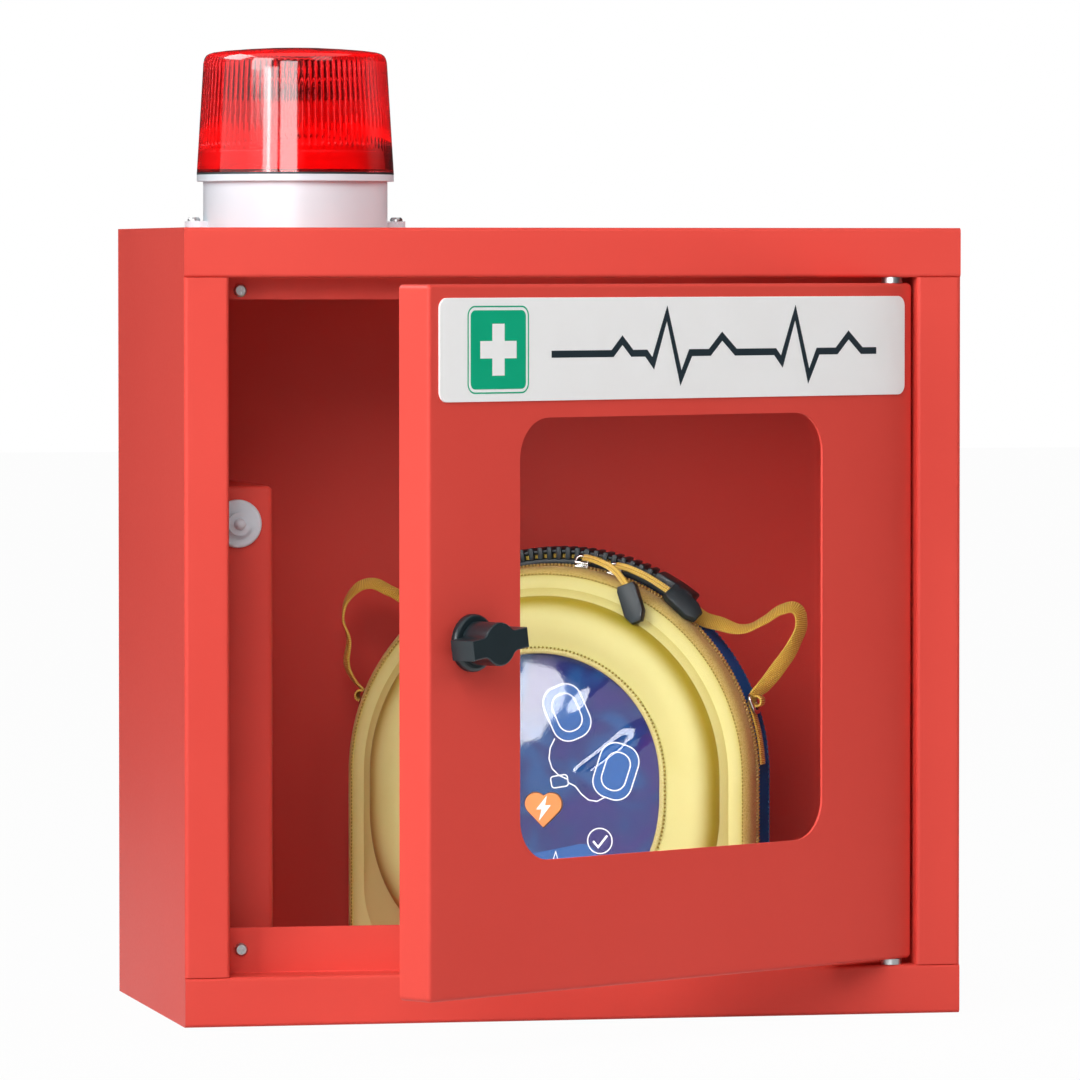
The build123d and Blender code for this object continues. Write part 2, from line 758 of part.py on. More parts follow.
lens_section = Plane(origin=(beacon_x, beacon_y, lens_z), x_dir=(1, 0, 0), z_dir=(0, -1, 0))
shoulder_z = lens_height - lens_crown
with BuildPart() as beacon_lens:
    with BuildSketch(lens_section) as lens_profile:
        with BuildLine():
            Line((0, 0), (beacon_flange_radius, 0))
            Line((beacon_flange_radius, 0), (lens_top_radius, shoulder_z))
            # Shallow dome, level at the middle
            dome_rise = lens_height - shoulder_z
            dome_sphere = (lens_top_radius**2 + dome_rise**2) / (2 * dome_rise)
            half_chord = lens_top_radius / 2
            half_z = lens_height - dome_sphere + sqrt(dome_sphere**2 - half_chord**2)
            ThreePointArc((lens_top_radius, shoulder_z), (half_chord, half_z), (0, lens_height))
            Line((0, lens_height), (0, 0))
        make_face()
        fillet(lens_profile.vertices().group_by(Axis.X)[-2], lens_shoulder)
    revolve(axis=Axis((beacon_x, beacon_y, 0), (0, 0, 1)))
    offset(amount=-lens_wall, openings=beacon_lens.faces().sort_by(Axis.Z)[0])
beacon_lens.part.label = "beacon_lens"
export_step(beacon_lens.part, "parts/beacon_lens.step")

board_top = beacon_floor.offset(base_wall + beacon_post)
with BuildPart() as beacon_circuit_board:
    with BuildSketch(board_top):
        Circle(beacon_board_radius)
    extrude(amount=beacon_board)
    with BuildSketch(board_top.offset(beacon_board)):
        with Locations(*driver_spots):
            Rectangle(*driver_size)
        with Locations(coil_spot):
            Circle(coil_radius)
    extrude(amount=driver_height)
beacon_circuit_board.part.label = "beacon_circuit_board"
export_step(beacon_circuit_board.part, "parts/beacon_circuit_board.step")

with BuildPart() as beacon_capacitor:
    with BuildSketch(board_top.offset(beacon_board)):
        with Locations((capacitor_offset, 0)):
            Circle(capacitor_radius)
    extrude(amount=capacitor_height)
    fillet(beacon_capacitor.edges().group_by(Axis.Z)[-1], 1)
beacon_capacitor.part.label = "beacon_capacitor"
export_step(beacon_capacitor.part, "parts/beacon_capacitor.step")

holder_top = board_top.offset(beacon_board + holder_height)
with BuildPart() as flash_tube_holder:
    with BuildSketch(board_top.offset(beacon_board)):
        Circle(holder_radius)
    extrude(amount=holder_height)
    fillet(flash_tube_holder.edges().group_by(Axis.Z)[-1], 2)
    with BuildSketch(holder_top):
        with GridLocations(tube_spacing, 0, 2, 1):
            Circle(tube_radius + fit_gap)
    extrude(amount=-holder_height / 2, mode=Mode.SUBTRACT)
flash_tube_holder.part.label = "flash_tube_holder"
export_step(flash_tube_holder.part, "parts/flash_tube_holder.step")

tube_section = Plane(
    origin=(beacon_x, beacon_y, holder_top_z - holder_height / 2), x_dir=(1, 0, 0), z_dir=(0, -1, 0)
)
with BuildPart() as flash_tube:
    with BuildLine(tube_section) as tube_path:
        tube_top = tube_height + holder_height / 2 - tube_radius
        FilletPolyline(
            (-tube_spacing / 2, 0),
            (-tube_spacing / 2, tube_top),
            (tube_spacing / 2, tube_top),
            (tube_spacing / 2, 0),
            radius=tube_radius * 2.4,
        )
    with BuildSketch(tube_path.line ^ 0):
        Circle(tube_radius)
    sweep()
flash_tube.part.label = "flash_tube"
export_step(flash_tube.part, "parts/flash_tube.step")

# ---------------------------------------------------------------------------
# Door
# ---------------------------------------------------------------------------
outwards = Axis(door_plane.origin, door_plane.z_dir)
window_center = (window_mid_x, window_mid_height)
clip_x = pane_width / 2 - clip_grip
clip_y = pane_height / 2 - clip_grip
clip_places = []
for side in (-1, 1):
    for end in (-1, 1):
        beside = (window_mid_x + side * clip_x, window_mid_height + end * pane_height / 3)
        above = (window_mid_x + side * pane_width / 3, window_mid_height + end * clip_y)
        clip_places.append(Location((*beside, 0), (0, 0, 90 - side * 90)))
        clip_places.append(Location((*above, 0), (0, 0, end * 90)))
stud_x = clip_grip + clip_foot / 2       # along a clip, from its inner end to its stud
stud_places = [place * Pos(stud_x, 0, 0) for place in clip_places]
stud_length = pane_thickness + clip_thickness + nut_small_height + 1.0


def hinge_hole(radius):
    """Cuts the hinge axis out of the current part of the door, at both ends."""
    with Locations((hinge_x, hinge_y, door_bottom_z), (hinge_x, hinge_y, door_top_z)):
        Cylinder(radius, 2 * (bush_length + fit_gap), mode=Mode.SUBTRACT)


with BuildPart() as door_panel:
    with BuildSketch(door_plane.offset(door_face)):
        with Locations((door_mid_x, door_mid_z)):
            RectangleRounded(door_width, door_height, door_corner)
    extrude(amount=-door_thickness)
    fillet(door_panel.faces().sort_by(outwards)[-1].edges(), fold_outer)
    offset(amount=-sheet, openings=door_panel.faces().sort_by(outwards)[0])
    with BuildSketch(door_plane.offset(door_face)):
        with Locations(window_center):
            RectangleRounded(window_width, window_height, window_corner)
        with Locations((lock_x, lock_height)):
            Circle(barrel_radius + fit_gap)
    extrude(amount=-2 * sheet, mode=Mode.SUBTRACT)
    hinge_hole(bush_radius)
    # The hinged edge's back corner is cut away, so that it swings past the lips
    with BuildSketch(door_plane.offset(door_face - door_thickness)):
        with Locations((door_hinge_edge, door_mid_z)):
            Rectangle(2 * hinge_relief, door_height)
    extrude(amount=hinge_relief, mode=Mode.SUBTRACT)
    # Studs welded inside for the pane's clips
    with BuildSketch(door_plane.offset(door_inside)):
        with Locations(*stud_places):
            Circle(stud_radius)
    extrude(amount=-stud_length)
door_panel.part.label = "door_panel"
export_step(door_panel.part, "parts/door_panel.step")

with BuildPart() as window_pane:
    with BuildSketch(door_plane.offset(door_inside)):
        with Locations(window_center):
            RectangleRounded(pane_width, pane_height, fold_outer)
    extrude(amount=-pane_thickness)
window_pane.part.label = "window_pane"
export_step(window_pane.part, "parts/window_pane.step")

with BuildPart() as pane_clips:
    with BuildSketch(door_plane.offset(pane_back)):
        with Locations(*clip_places):
            Rectangle(clip_grip + clip_foot, clip_width, align=(Align.MIN, Align.CENTER))
    extrude(amount=-clip_thickness)
    with BuildSketch(door_plane.offset(door_inside)):
        with Locations(*[place * Pos(clip_grip + fit_gap, 0, 0) for place in clip_places]):
            Rectangle(clip_foot - fit_gap, clip_width, align=(Align.MIN, Align.CENTER))
    extrude(amount=-pane_thickness)
    with BuildSketch(door_plane.offset(door_inside)):
        with Locations(*stud_places):
            Circle(stud_radius + fit_gap)
    extrude(amount=-pane_thickness - clip_thickness, mode=Mode.SUBTRACT)
pane_clips.part.label = "pane_clips"
export_step(pane_clips.part, "parts/pane_clips.step")

with BuildPart() as pane_nuts:
    with BuildSketch(door_plane.offset(pane_back - clip_thickness)):
        with Locations(*stud_places):
            RegularPolygon(nut_flats_small / 2, 6, major_radius=False)
            Circle(stud_radius, mode=Mode.SUBTRACT)
    extrude(amount=-nut_small_height)
pane_nuts.part.label = "pane_nuts"
export_step(pane_nuts.part, "parts/pane_nuts.step")

with BuildPart() as sign_plate:
    with BuildSketch(door_plane.offset(door_face)):
        with Locations((sign_mid_x, sign_mid_z)):
            RectangleRounded(sign_width, sign_height, sign_corner)
    extrude(amount=sign_thickness)
    fillet(sign_plate.faces().sort_by(outwards)[-1].edges(), sign_thickness * 0.3)
sign_plate.part.label = "sign_plate"
export_step(sign_plate.part, "parts/sign_plate.step")

with BuildPart() as hinge_bushes:
    for end_z, up in ((door_bottom_z, 1), (door_top_z, -1)):
        with Locations((hinge_x, hinge_y, end_z + up * bush_length / 2)):
            Cylinder(bush_radius, bush_length)
        with Locations((hinge_x, hinge_y, end_z + up * (sheet + bush_flange / 2))):
            Cylinder(bush_flange_radius, bush_flange)
        with Locations((hinge_x, hinge_y, end_z + up * bush_length / 2)):
            Cylinder(pin_radius + run_gap, 2 * bush_length, mode=Mode.SUBTRACT)
hinge_bushes.part.label = "hinge_bushes"
export_step(hinge_bushes.part, "parts/hinge_bushes.step")

with BuildPart() as door_magnet:
    with BuildSketch(door_plane.offset(door_inside)):
        with Locations((button_x - hinge_x, button_height_z)):
            Rectangle(magnet_size[0], magnet_size[1])
    extrude(amount=-magnet_size[2])
    fillet(door_magnet.faces().sort_by(outwards)[0].edges(), 1.5)
door_magnet.part.label = "door_magnet"
export_step(door_magnet.part, "parts/door_magnet.step")

# ---------------------------------------------------------------------------
# Lock
# ---------------------------------------------------------------------------
lock_plane = Plane(
    origin=door_plane.from_local_coords((lock_x, lock_height, door_face)),
    x_dir=door_plane.x_dir.rotate(Axis((0, 0, 0), door_plane.z_dir), knob_tilt),
    z_dir=door_plane.z_dir,
)
cam_front = -(return_y - front_y + cam_run)   # below the door's face
knob_base = rosette_height + free_gap

with BuildPart() as lock_rosette:
    with BuildSketch(lock_plane):
        Circle(rosette_radius)
    extrude(amount=rosette_height)
    fillet(lock_rosette.edges().sort_by(outwards)[-1], rosette_height * 0.6)
    with BuildSketch(lock_plane):
        Circle(barrel_radius + fit_gap)
    extrude(amount=rosette_height, mode=Mode.SUBTRACT)
lock_rosette.part.label = "lock_rosette"
export_step(lock_rosette.part, "parts/lock_rosette.step")

with BuildPart() as lock_barrel:
    with BuildSketch(lock_plane.offset(barrel_proud)):
        Circle(barrel_radius)
        Circle(spindle_radius + run_gap, mode=Mode.SUBTRACT)
    extrude(amount=-barrel_proud - barrel_length)
lock_barrel.part.label = "lock_barrel"
export_step(lock_barrel.part, "parts/lock_barrel.step")

with BuildPart() as lock_nut:
    with BuildSketch(lock_plane.offset(-sheet)):
        RegularPolygon(lock_nut_flats / 2, 6, major_radius=False)
        Circle(barrel_radius, mode=Mode.SUBTRACT)
    extrude(amount=-lock_nut_height)
lock_nut.part.label = "lock_nut"
export_step(lock_nut.part, "parts/lock_nut.step")

with BuildPart() as lock_knob:
    with BuildSketch(lock_plane.offset(wing_foot)) as wing:
        Circle(hub_radius)
        Rectangle(2 * wing_half, wing_thickness)
        corners = wing.vertices().group_by(SortBy.DISTANCE)[0]
        fillet(corners, wing_flare)
    extrude(amount=knob_proud - wing_foot)
    fillet(lock_knob.faces().sort_by(outwards)[-1].edges(), knob_round)
    with BuildSketch(lock_plane.offset(knob_base)):
        Circle(hub_radius)
    extrude(amount=wing_foot - knob_base)
    with BuildSketch(lock_plane.offset(knob_base)):
        Rectangle(spindle_square + 2 * fit_gap, spindle_square + 2 * fit_gap)
    extrude(amount=knob_proud - knob_wall - knob_base, mode=Mode.SUBTRACT)
lock_knob.part.label = "lock_knob"
export_step(lock_knob.part, "parts/lock_knob.step")

with BuildPart() as lock_spindle:
    with BuildSketch(lock_plane.offset(knob_base)):
        Circle(spindle_radius)
    extrude(amount=cam_front - knob_base)
    with BuildSketch(lock_plane.offset(knob_base)):
        Rectangle(spindle_square, spindle_square)
    extrude(amount=knob_proud - knob_wall - knob_base - fit_gap)
    with BuildSketch(lock_plane.offset(cam_front)):
        Rectangle(spindle_square, spindle_square)
    extrude(amount=-cam_thickness)
    with BuildSketch(lock_plane.offset(cam_front - cam_thickness)):
        Circle(cam_screw_radius)
    extrude(amount=cam_screw_length, mode=Mode.SUBTRACT)
lock_spindle.part.label = "lock_spindle"
export_step(lock_spindle.part, "parts/lock_spindle.step")

with BuildPart() as lock_cam:
    with BuildSketch(lock_plane.offset(cam_front)):
        Circle(cam_width / 2)
        Rectangle(cam_width, cam_length, align=(Align.CENTER, Align.MIN))
        Rectangle(spindle_square + fit_gap, spindle_square + fit_gap, mode=Mode.SUBTRACT)
    extrude(amount=-cam_thickness)
lock_cam.part.label = "lock_cam"
export_step(lock_cam.part, "parts/lock_cam.step")

with BuildPart() as cam_screw:
    with BuildSketch(lock_plane.offset(cam_front - cam_thickness)):
        Circle(cam_head_radius)
    extrude(amount=-cam_head_height)
    with BuildSketch(lock_plane.offset(cam_front - cam_thickness - cam_head_height)):
        RegularPolygon(cam_head_radius * 0.55, 6)
    extrude(amount=cam_head_height / 2, mode=Mode.SUBTRACT)
    with BuildSketch(lock_plane.offset(cam_front - cam_thickness)):
        Circle(cam_screw_radius)
    extrude(amount=cam_screw_length - fit_gap)
cam_screw.part.label = "cam_screw"
export_step(cam_screw.part, "parts/cam_screw.step")

# ---------------------------------------------------------------------------
# Carry case
# ---------------------------------------------------------------------------
forwards = Axis(case_plane.origin, case_plane.z_dir)

with BuildPart() as case_front_shell:
    with BuildSketch(case_plane.offset(zip_half)):
        arch(case_arch_radius, case_arch_height, case_corner)
    extrude(amount=band_front - zip_half)
    fillet(case_front_shell.faces().sort_by(forwards)[-1].edges(), band_edge)
    with BuildSketch(case_plane.offset(zip_half)):
        arch(dome_radius, dome_foot, dome_corner)
    extrude(amount=case_front_depth - zip_half)
    fillet(case_front_shell.faces().sort_by(forwards)[-1].edges(), dome_edge)
    # Hollow
    with BuildSketch(case_plane.offset(zip_half)):
        arch(case_arch_radius, case_arch_height, case_corner, -case_wall)
    extrude(amount=band_front - zip_half - case_wall - band_edge / 2, mode=Mode.SUBTRACT)
    with BuildSketch(case_plane.offset(zip_half)):
        arch(dome_radius, dome_foot, dome_corner, -2 * case_wall)
    extrude(amount=case_front_depth - zip_half - case_wall, mode=Mode.SUBTRACT)
    with BuildSketch(case_plane.offset(case_front_depth)):
        arch(case_window_radius, case_window_foot, case_window_corner)
    extrude(amount=-2 * case_wall, mode=Mode.SUBTRACT)
case_front_shell.part.label = "case_front_shell"
export_step(case_front_shell.part, "parts/case_front_shell.step")

with BuildPart() as case_window:
    with BuildSketch(case_plane.offset(case_front_depth - case_wall)):
        arch(case_window_radius, case_window_foot, case_window_corner, case_sheet_lap)
    extrude(amount=-case_sheet)
case_window.part.label = "case_window"
export_step(case_window.part, "parts/case_window.step")

with BuildPart() as window_trim:
    with BuildSketch(case_plane.offset(case_front_depth)) as trim_face:
        arch(case_window_radius, case_window_foot, case_window_corner, trim_width)
        with BuildSketch(mode=Mode.SUBTRACT):
            arch(case_window_radius, case_window_foot, case_window_corner)
    extrude(amount=trim_height)
window_trim.part.label = "window_trim"
export_step(window_trim.part, "parts/window_trim.step")

with BuildPart() as case_back_shell:
    with BuildSketch(case_plane.offset(-zip_half)):
        arch(case_arch_radius, case_arch_height, case_corner)
    extrude(amount=zip_half - case_back_depth)
    fillet(case_back_shell.faces().sort_by(forwards)[0].edges(), case_back_edge)
    offset(amount=-case_wall, openings=case_back_shell.faces().sort_by(forwards)[-1])
    # Moulded seat that the defibrillator stands on
    with BuildSketch(case_plane.offset(case_wall - case_back_depth)):
        with Locations((0, -aed_foot)):
            Rectangle(seat_width, seat_height, align=(Align.CENTER, Align.MAX))
    extrude(amount=seat_depth)
case_back_shell.part.label = "case_back_shell"
export_step(case_back_shell.part, "parts/case_back_shell.step")

with BuildPart() as case_zip:
    with BuildSketch(case_plane.offset(-zip_half)):
        arch(case_arch_radius, case_arch_height, case_corner, zip_proud)
        with BuildSketch(mode=Mode.SUBTRACT):
            arch(case_arch_radius, case_arch_height, case_corner, -zip_tape)
    extrude(amount=2 * zip_half)
case_zip.part.label = "case_zip"
export_step(case_zip.part, "parts/case_zip.step")

with BuildPart() as handle_grip:
    with BuildSketch(case_plane.offset(-grip_back)) as grip_face:
        with BuildLine():
            upper = CenterArc((0, 0), grip_outer, 90 - grip_angle / 2, grip_angle)
            lower = CenterArc((0, 0), grip_inner, 90 - grip_angle / 2, grip_angle)
            Line(upper @ 0, lower @ 0)
            Line(upper @ 1, lower @ 1)
        make_face()
        fillet(grip_face.vertices(), grip_thickness * 0.3)
    extrude(amount=grip_width)
    # Ribs: slots across the outside
    with BuildSketch(case_plane.offset(-grip_back)):
        slot_span = grip_slot_pitch * (grip_slots - 1)
        with PolarLocations(grip_outer, grip_slots, 90 - slot_span / 2, slot_span, endpoint=True):
            Rectangle(2 * grip_slot_depth, grip_slot)
    extrude(amount=grip_width, mode=Mode.SUBTRACT)
handle_grip.part.label = "handle_grip"
export_step(handle_grip.part, "parts/handle_grip.step")

tab_radius = case_arch_radius + zip_proud + webbing_thickness / 2
ring_radius = tab_radius + webbing_thickness / 2 + ring_wire
grip_middle = (grip_inner + grip_outer) / 2


def on_arch(radius, angle):
    """Point at a radius and an angle above the arch's right springing."""
    return (radius * cos(radians(angle)), radius * sin(radians(angle)))


with BuildPart() as carry_straps:
    for side, loop in ((1, right_loop), (-1, left_loop)):
        grip_end = on_arch(grip_middle, 90 - side * grip_angle / 2)
        ring_end = on_arch(ring_radius, 90 - side * (90 - ring_angle))
        with BuildSketch(case_plane.offset(-strap_back)):
            with BuildLine():
                Spline(grip_end, *loop, ring_end)
            trace(line_width=webbing_thickness)
        extrude(amount=webbing)
    # The tabs are sewn to the case's sides and lie under the rings
    with BuildSketch(case_plane.offset(-strap_back)):
        for start, turn in ((0, 1), (180, -1)):
            with BuildLine():
                CenterArc(
                    (0, 0), tab_radius, start + turn * tab_foot_angle,
                    turn * (ring_angle - tab_foot_angle),
                )
            trace(line_width=webbing_thickness)
    extrude(amount=webbing)
carry_straps.part.label = "carry_straps"
export_step(carry_straps.part, "parts/carry_straps.step")

with BuildPart() as d_rings:
    for side in (-1, 1):
        x, y = on_arch(ring_radius, 90 - side * (90 - ring_angle))
        middle = case_plane.from_local_coords((x, y, webbing / 2 - strap_back))
        ring_plane = Plane(
            origin=middle, x_dir=case_plane.z_dir,
            z_dir=place_on_arch(side * (90 - ring_angle)).y_dir,
        )
        half = ring_width / 2
        with BuildLine(ring_plane) as ring_path:
            FilletPolyline(
                (-half, -ring_drop / 2), (half, -ring_drop / 2),
                (half * 0.8, ring_drop / 2), (-half * 0.8, ring_drop / 2),
                radius=ring_wire * 2, close=True,
            )
        with BuildSketch(ring_path.line ^ 0):
            Circle(ring_wire)
        sweep()
d_rings.part.label = "d_rings"
export_step(d_rings.part, "parts/d_rings.step")

# ---------------------------------------------------------------------------
# Zip sliders and pulls
# ---------------------------------------------------------------------------
slider_foot = case_arch_radius + zip_proud + free_gap


def zip_slider(angle):
    """Slider body over the zip's teeth, with its wire bail standing on it."""
    place = place_on_arch(angle)
    crown = slider_foot + slider_height
    bail_plane = Plane(
        origin=place.from_local_coords((0, crown, 0)), x_dir=place.z_dir, z_dir=-place.x_dir
    )
    with BuildPart() as slider:
        with BuildSketch(place.offset(-slider_width / 2)):
            with Locations((0, slider_foot + slider_height / 2)):
                RectangleRounded(slider_length, slider_height, slider_height * 0.3)
        extrude(amount=slider_width)
        with BuildLine(bail_plane) as bail_path:
            FilletPolyline(
                (-bail_radius, -slider_height / 4),
                (-bail_radius, bail_radius * 1.4),
                (bail_radius, bail_radius * 1.4),
                (bail_radius, -slider_height / 4),
                radius=bail_radius * 0.8,
            )
        with BuildSketch(bail_path.line ^ 0):
            Circle(bail_wire)
        sweep()
    return slider


def arc_radii(route):
    """Largest arcs that the runs of a cord's route allow at its corners."""
    points = [Vector(*point) for point in route]
    radii = []
    for before, corner, after in zip(points, points[1:], points[2:]):
        first = corner - before
        second = after - corner
        turn = radians(first.get_angle(second))
        radii.append(0.45 * min(first.length, second.length) / tan(turn / 2))
    return radii


def pull_cord(route):
    """Doubled cord from a slider's bail to its moulded end: runs joined by arcs."""
    radii = arc_radii(route)
    with BuildPart() as cord:
        with BuildLine(case_plane) as path:
            FilletPolyline(*route, radius=radii)
        with BuildSketch(path.line ^ 0):
            Circle(pull_cord_radius)
        sweep()
    length = sum(edge.length for edge in path.edges())
    tube = length * pi * pull_cord_radius**2
    print(f"pull cord: length {length:.1f}, radii {[round(radius, 1) for radius in radii]}")
    print(f"  volume over section times length {cord.part.volume / tube:.4f}")
    return cord


def pull_end(route, flat):
    """Moulded end of a pull cord: a flat tapered block, in line with the cord's last run."""
    start = case_plane.from_local_coords(route[-1])
    heading = start - case_plane.from_local_coords(route[-2])
    facing = case_plane.from_local_coords(flat) - case_plane.origin
    block = Plane(origin=start, x_dir=heading, z_dir=heading.cross(facing.cross(heading)))
    with BuildPart() as end:
        with BuildSketch(block.offset(-pull_thickness / 2)):
            with BuildLine():
                Polyline(
                    (0, -pull_width * 0.4), (pull_length * 0.12, -pull_width / 2),
                    (pull_length * 0.78, -pull_width / 2), (pull_length, -pull_width * 0.28),
                    (pull_length, pull_width * 0.28), (pull_length * 0.78, pull_width / 2),
                    (pull_length * 0.12, pull_width / 2), (0, pull_width * 0.4), close=True,
                )
            make_face()
        extrude(amount=pull_thickness)
        fillet(end.edges().filter_by(Axis(block.origin, block.z_dir)), pull_edge)
    return end


zip_slider_left = zip_slider(slider_left_angle)
zip_slider_left.part.label = "zip_slider_left"
export_step(zip_slider_left.part, "parts/zip_slider_left.step")

zip_slider_right = zip_slider(slider_right_angle)
zip_slider_right.part.label = "zip_slider_right"
export_step(zip_slider_right.part, "parts/zip_slider_right.step")

pull_cord_left = pull_cord(left_cord)
pull_cord_left.part.label = "pull_cord_left"
export_step(pull_cord_left.part, "parts/pull_cord_left.step")

pull_cord_right = pull_cord(right_cord)
pull_cord_right.part.label = "pull_cord_right"
export_step(pull_cord_right.part, "parts/pull_cord_right.step")

pull_end_left = pull_end(left_cord, (0, 0, 1))
pull_end_left.part.label = "pull_end_left"
export_step(pull_end_left.part, "parts/pull_end_left.step")

pull_end_right = pull_end(right_cord, (0.55, 0.66, 0.51))
pull_end_right.part.label = "pull_end_right"
export_step(pull_end_right.part, "parts/pull_end_right.step")

# ---------------------------------------------------------------------------
# Defibrillator
# ---------------------------------------------------------------------------
inside_front = aed_front - aed_wall
with BuildPart() as aed_front_housing:
    with BuildSketch(case_plane):
        arch(aed_radius, aed_foot, aed_corner)
    extrude(amount=aed_front)
    fillet(aed_front_housing.faces().sort_by(forwards)[-1].edges(), aed_edge)
    offset(amount=-aed_wall, openings=aed_front_housing.faces().sort_by(forwards)[0])
    with BuildSketch(case_plane.offset(aed_front)) as button_holes:
        with Locations((shock_x, shock_y)):
            heart(heart_side + 2 * free_gap)
        with Locations((power_x, power_y)):
            Circle(power_radius + free_gap)
    extrude(amount=-2 * aed_wall, mode=Mode.SUBTRACT)
aed_front_housing.part.label = "aed_front_housing"
export_step(aed_front_housing.part, "parts/aed_front_housing.step")

with BuildPart() as aed_rear_housing:
    with BuildSketch(case_plane):
        arch(aed_radius, aed_foot, aed_corner)
    extrude(amount=-aed_back)
    fillet(aed_rear_housing.faces().sort_by(forwards)[0].edges(), aed_edge)
    offset(amount=-aed_wall, openings=aed_rear_housing.faces().sort_by(forwards)[-1])
aed_rear_housing.part.label = "aed_rear_housing"
export_step(aed_rear_housing.part, "parts/aed_rear_housing.step")

with BuildPart() as aed_overlay:
    with BuildSketch(case_plane.offset(aed_front)):
        arch(overlay_radius, overlay_foot, overlay_corner)
        with Locations((shock_x, shock_y)):
            heart(heart_side + 2 * free_gap, mode=Mode.SUBTRACT)
        with Locations((power_x, power_y)):
            Circle(power_radius + free_gap, mode=Mode.SUBTRACT)
    extrude(amount=overlay_thickness)
aed_overlay.part.label = "aed_overlay"
export_step(aed_overlay.part, "parts/aed_overlay.step")

button_height = aed_wall + overlay_thickness + button_proud + free_gap
flange_front = inside_front - free_gap
with BuildPart() as shock_button:
    with BuildSketch(case_plane.offset(flange_front)):
        with Locations((shock_x, shock_y)):
            heart(heart_side)
    extrude(amount=button_height)
    fillet(shock_button.faces().sort_by(forwards)[-1].edges(), button_proud * 0.4)
    with BuildSketch(case_plane.offset(flange_front)):
        with Locations((shock_x, shock_y)):
            heart(heart_side + 2 * button_flange_margin)
    extrude(amount=-button_flange)
shock_button.part.label = "shock_button"
export_step(shock_button.part, "parts/shock_button.step")

with BuildPart() as on_off_button:
    with BuildSketch(case_plane.offset(flange_front)):
        with Locations((power_x, power_y)):
            Circle(power_radius)
    extrude(amount=button_height)
    fillet(on_off_button.edges().sort_by(forwards)[-1], button_proud * 0.4)
    with BuildSketch(case_plane.offset(flange_front)):
        with Locations((power_x, power_y)):
            Circle(power_radius + button_flange_margin)
    extrude(amount=-button_flange)
on_off_button.part.label = "on_off_button"
export_step(on_off_button.part, "parts/on_off_button.step")

aed_board_end = case_plane.from_local_coords(
    (-aed_capacitor_length / 2, aed_capacitor_y, aed_board_z - aed_capacitor_radius)
)
with BuildPart() as aed_circuit_board:
    with BuildSketch(case_plane.offset(aed_board_z)):
        arch(aed_radius, aed_foot, aed_corner, -aed_wall - aed_board_gap)
    extrude(amount=aed_board)
    # Switches under the two buttons
    with BuildSketch(case_plane.offset(aed_board_z + aed_board)):
        with Locations((shock_x, shock_y), (power_x, power_y)):
            Rectangle(aed_switch, aed_switch)
    extrude(amount=flange_front - button_flange - button_travel - free_gap - aed_board_z - aed_board)
    with BuildSketch(case_plane.offset(aed_board_z + aed_board)):
        with Locations(*aed_chip_spots):
            Rectangle(*aed_chip_size)
    extrude(amount=aed_chip_height)
    # Energy storage capacitor, under the board
    with BuildSketch(Plane(aed_board_end, x_dir=case_plane.z_dir, z_dir=case_plane.x_dir)):
        Circle(aed_capacitor_radius)
    extrude(amount=aed_capacitor_length)
aed_circuit_board.part.label = "aed_circuit_board"
export_step(aed_circuit_board.part, "parts/aed_circuit_board.step")

with BuildPart() as aed_speaker:
    with BuildSketch(case_plane.offset(inside_front)):
        with Locations(speaker_spot):
            Circle(speaker_radius)
    extrude(amount=-speaker_height)
aed_speaker.part.label = "aed_speaker"
export_step(aed_speaker.part, "parts/aed_speaker.step")

with BuildPart(case_plane) as battery_electrode_pack:
    pack_back = aed_wall + pack_gap - aed_back
    with Locations((0, pack_rise - aed_foot + pack_size[1] / 2, pack_back + pack_size[2] / 2)):
        Box(*pack_size)
    fillet(battery_electrode_pack.edges().filter_by(forwards), 3)
battery_electrode_pack.part.label = "battery_electrode_pack"
export_step(battery_electrode_pack.part, "parts/battery_electrode_pack.step")
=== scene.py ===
"""Looks of a wall-mounted defibrillator station: steel cabinet, strobe beacon,
door alarm and a defibrillator in its moulded carry case.  Metres, in the CAD frame."""

import json
from math import atan2, cos, pi, radians, sin

import bmesh
import bpy
from mathutils import Matrix, Vector, noise


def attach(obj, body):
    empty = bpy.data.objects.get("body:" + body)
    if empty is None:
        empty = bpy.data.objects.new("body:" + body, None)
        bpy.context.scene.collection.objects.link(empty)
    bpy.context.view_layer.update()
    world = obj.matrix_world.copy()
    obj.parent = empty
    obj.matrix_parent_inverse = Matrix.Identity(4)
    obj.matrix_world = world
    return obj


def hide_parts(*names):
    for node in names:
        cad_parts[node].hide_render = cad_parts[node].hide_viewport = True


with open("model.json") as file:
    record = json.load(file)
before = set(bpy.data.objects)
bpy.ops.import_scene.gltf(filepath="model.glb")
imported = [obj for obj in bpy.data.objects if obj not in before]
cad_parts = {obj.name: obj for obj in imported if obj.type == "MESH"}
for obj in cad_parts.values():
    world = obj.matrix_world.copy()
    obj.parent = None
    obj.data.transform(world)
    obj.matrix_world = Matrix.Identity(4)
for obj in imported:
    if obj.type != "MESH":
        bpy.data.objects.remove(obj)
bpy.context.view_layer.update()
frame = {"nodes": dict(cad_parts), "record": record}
MM = 0.001

# ---------------------------------------------------------------------------
# Frames of the turned pieces, as the CAD has them
# ---------------------------------------------------------------------------


def frame_of(origin, right, forward):
    """Matrix of a frame in millimetres: x to the right, y up, z forward."""
    turn = Matrix((right, forward.cross(right), forward)).transposed().to_4x4()
    return Matrix.Translation(Vector(origin) * MM) @ turn @ Matrix.Scale(MM, 4)


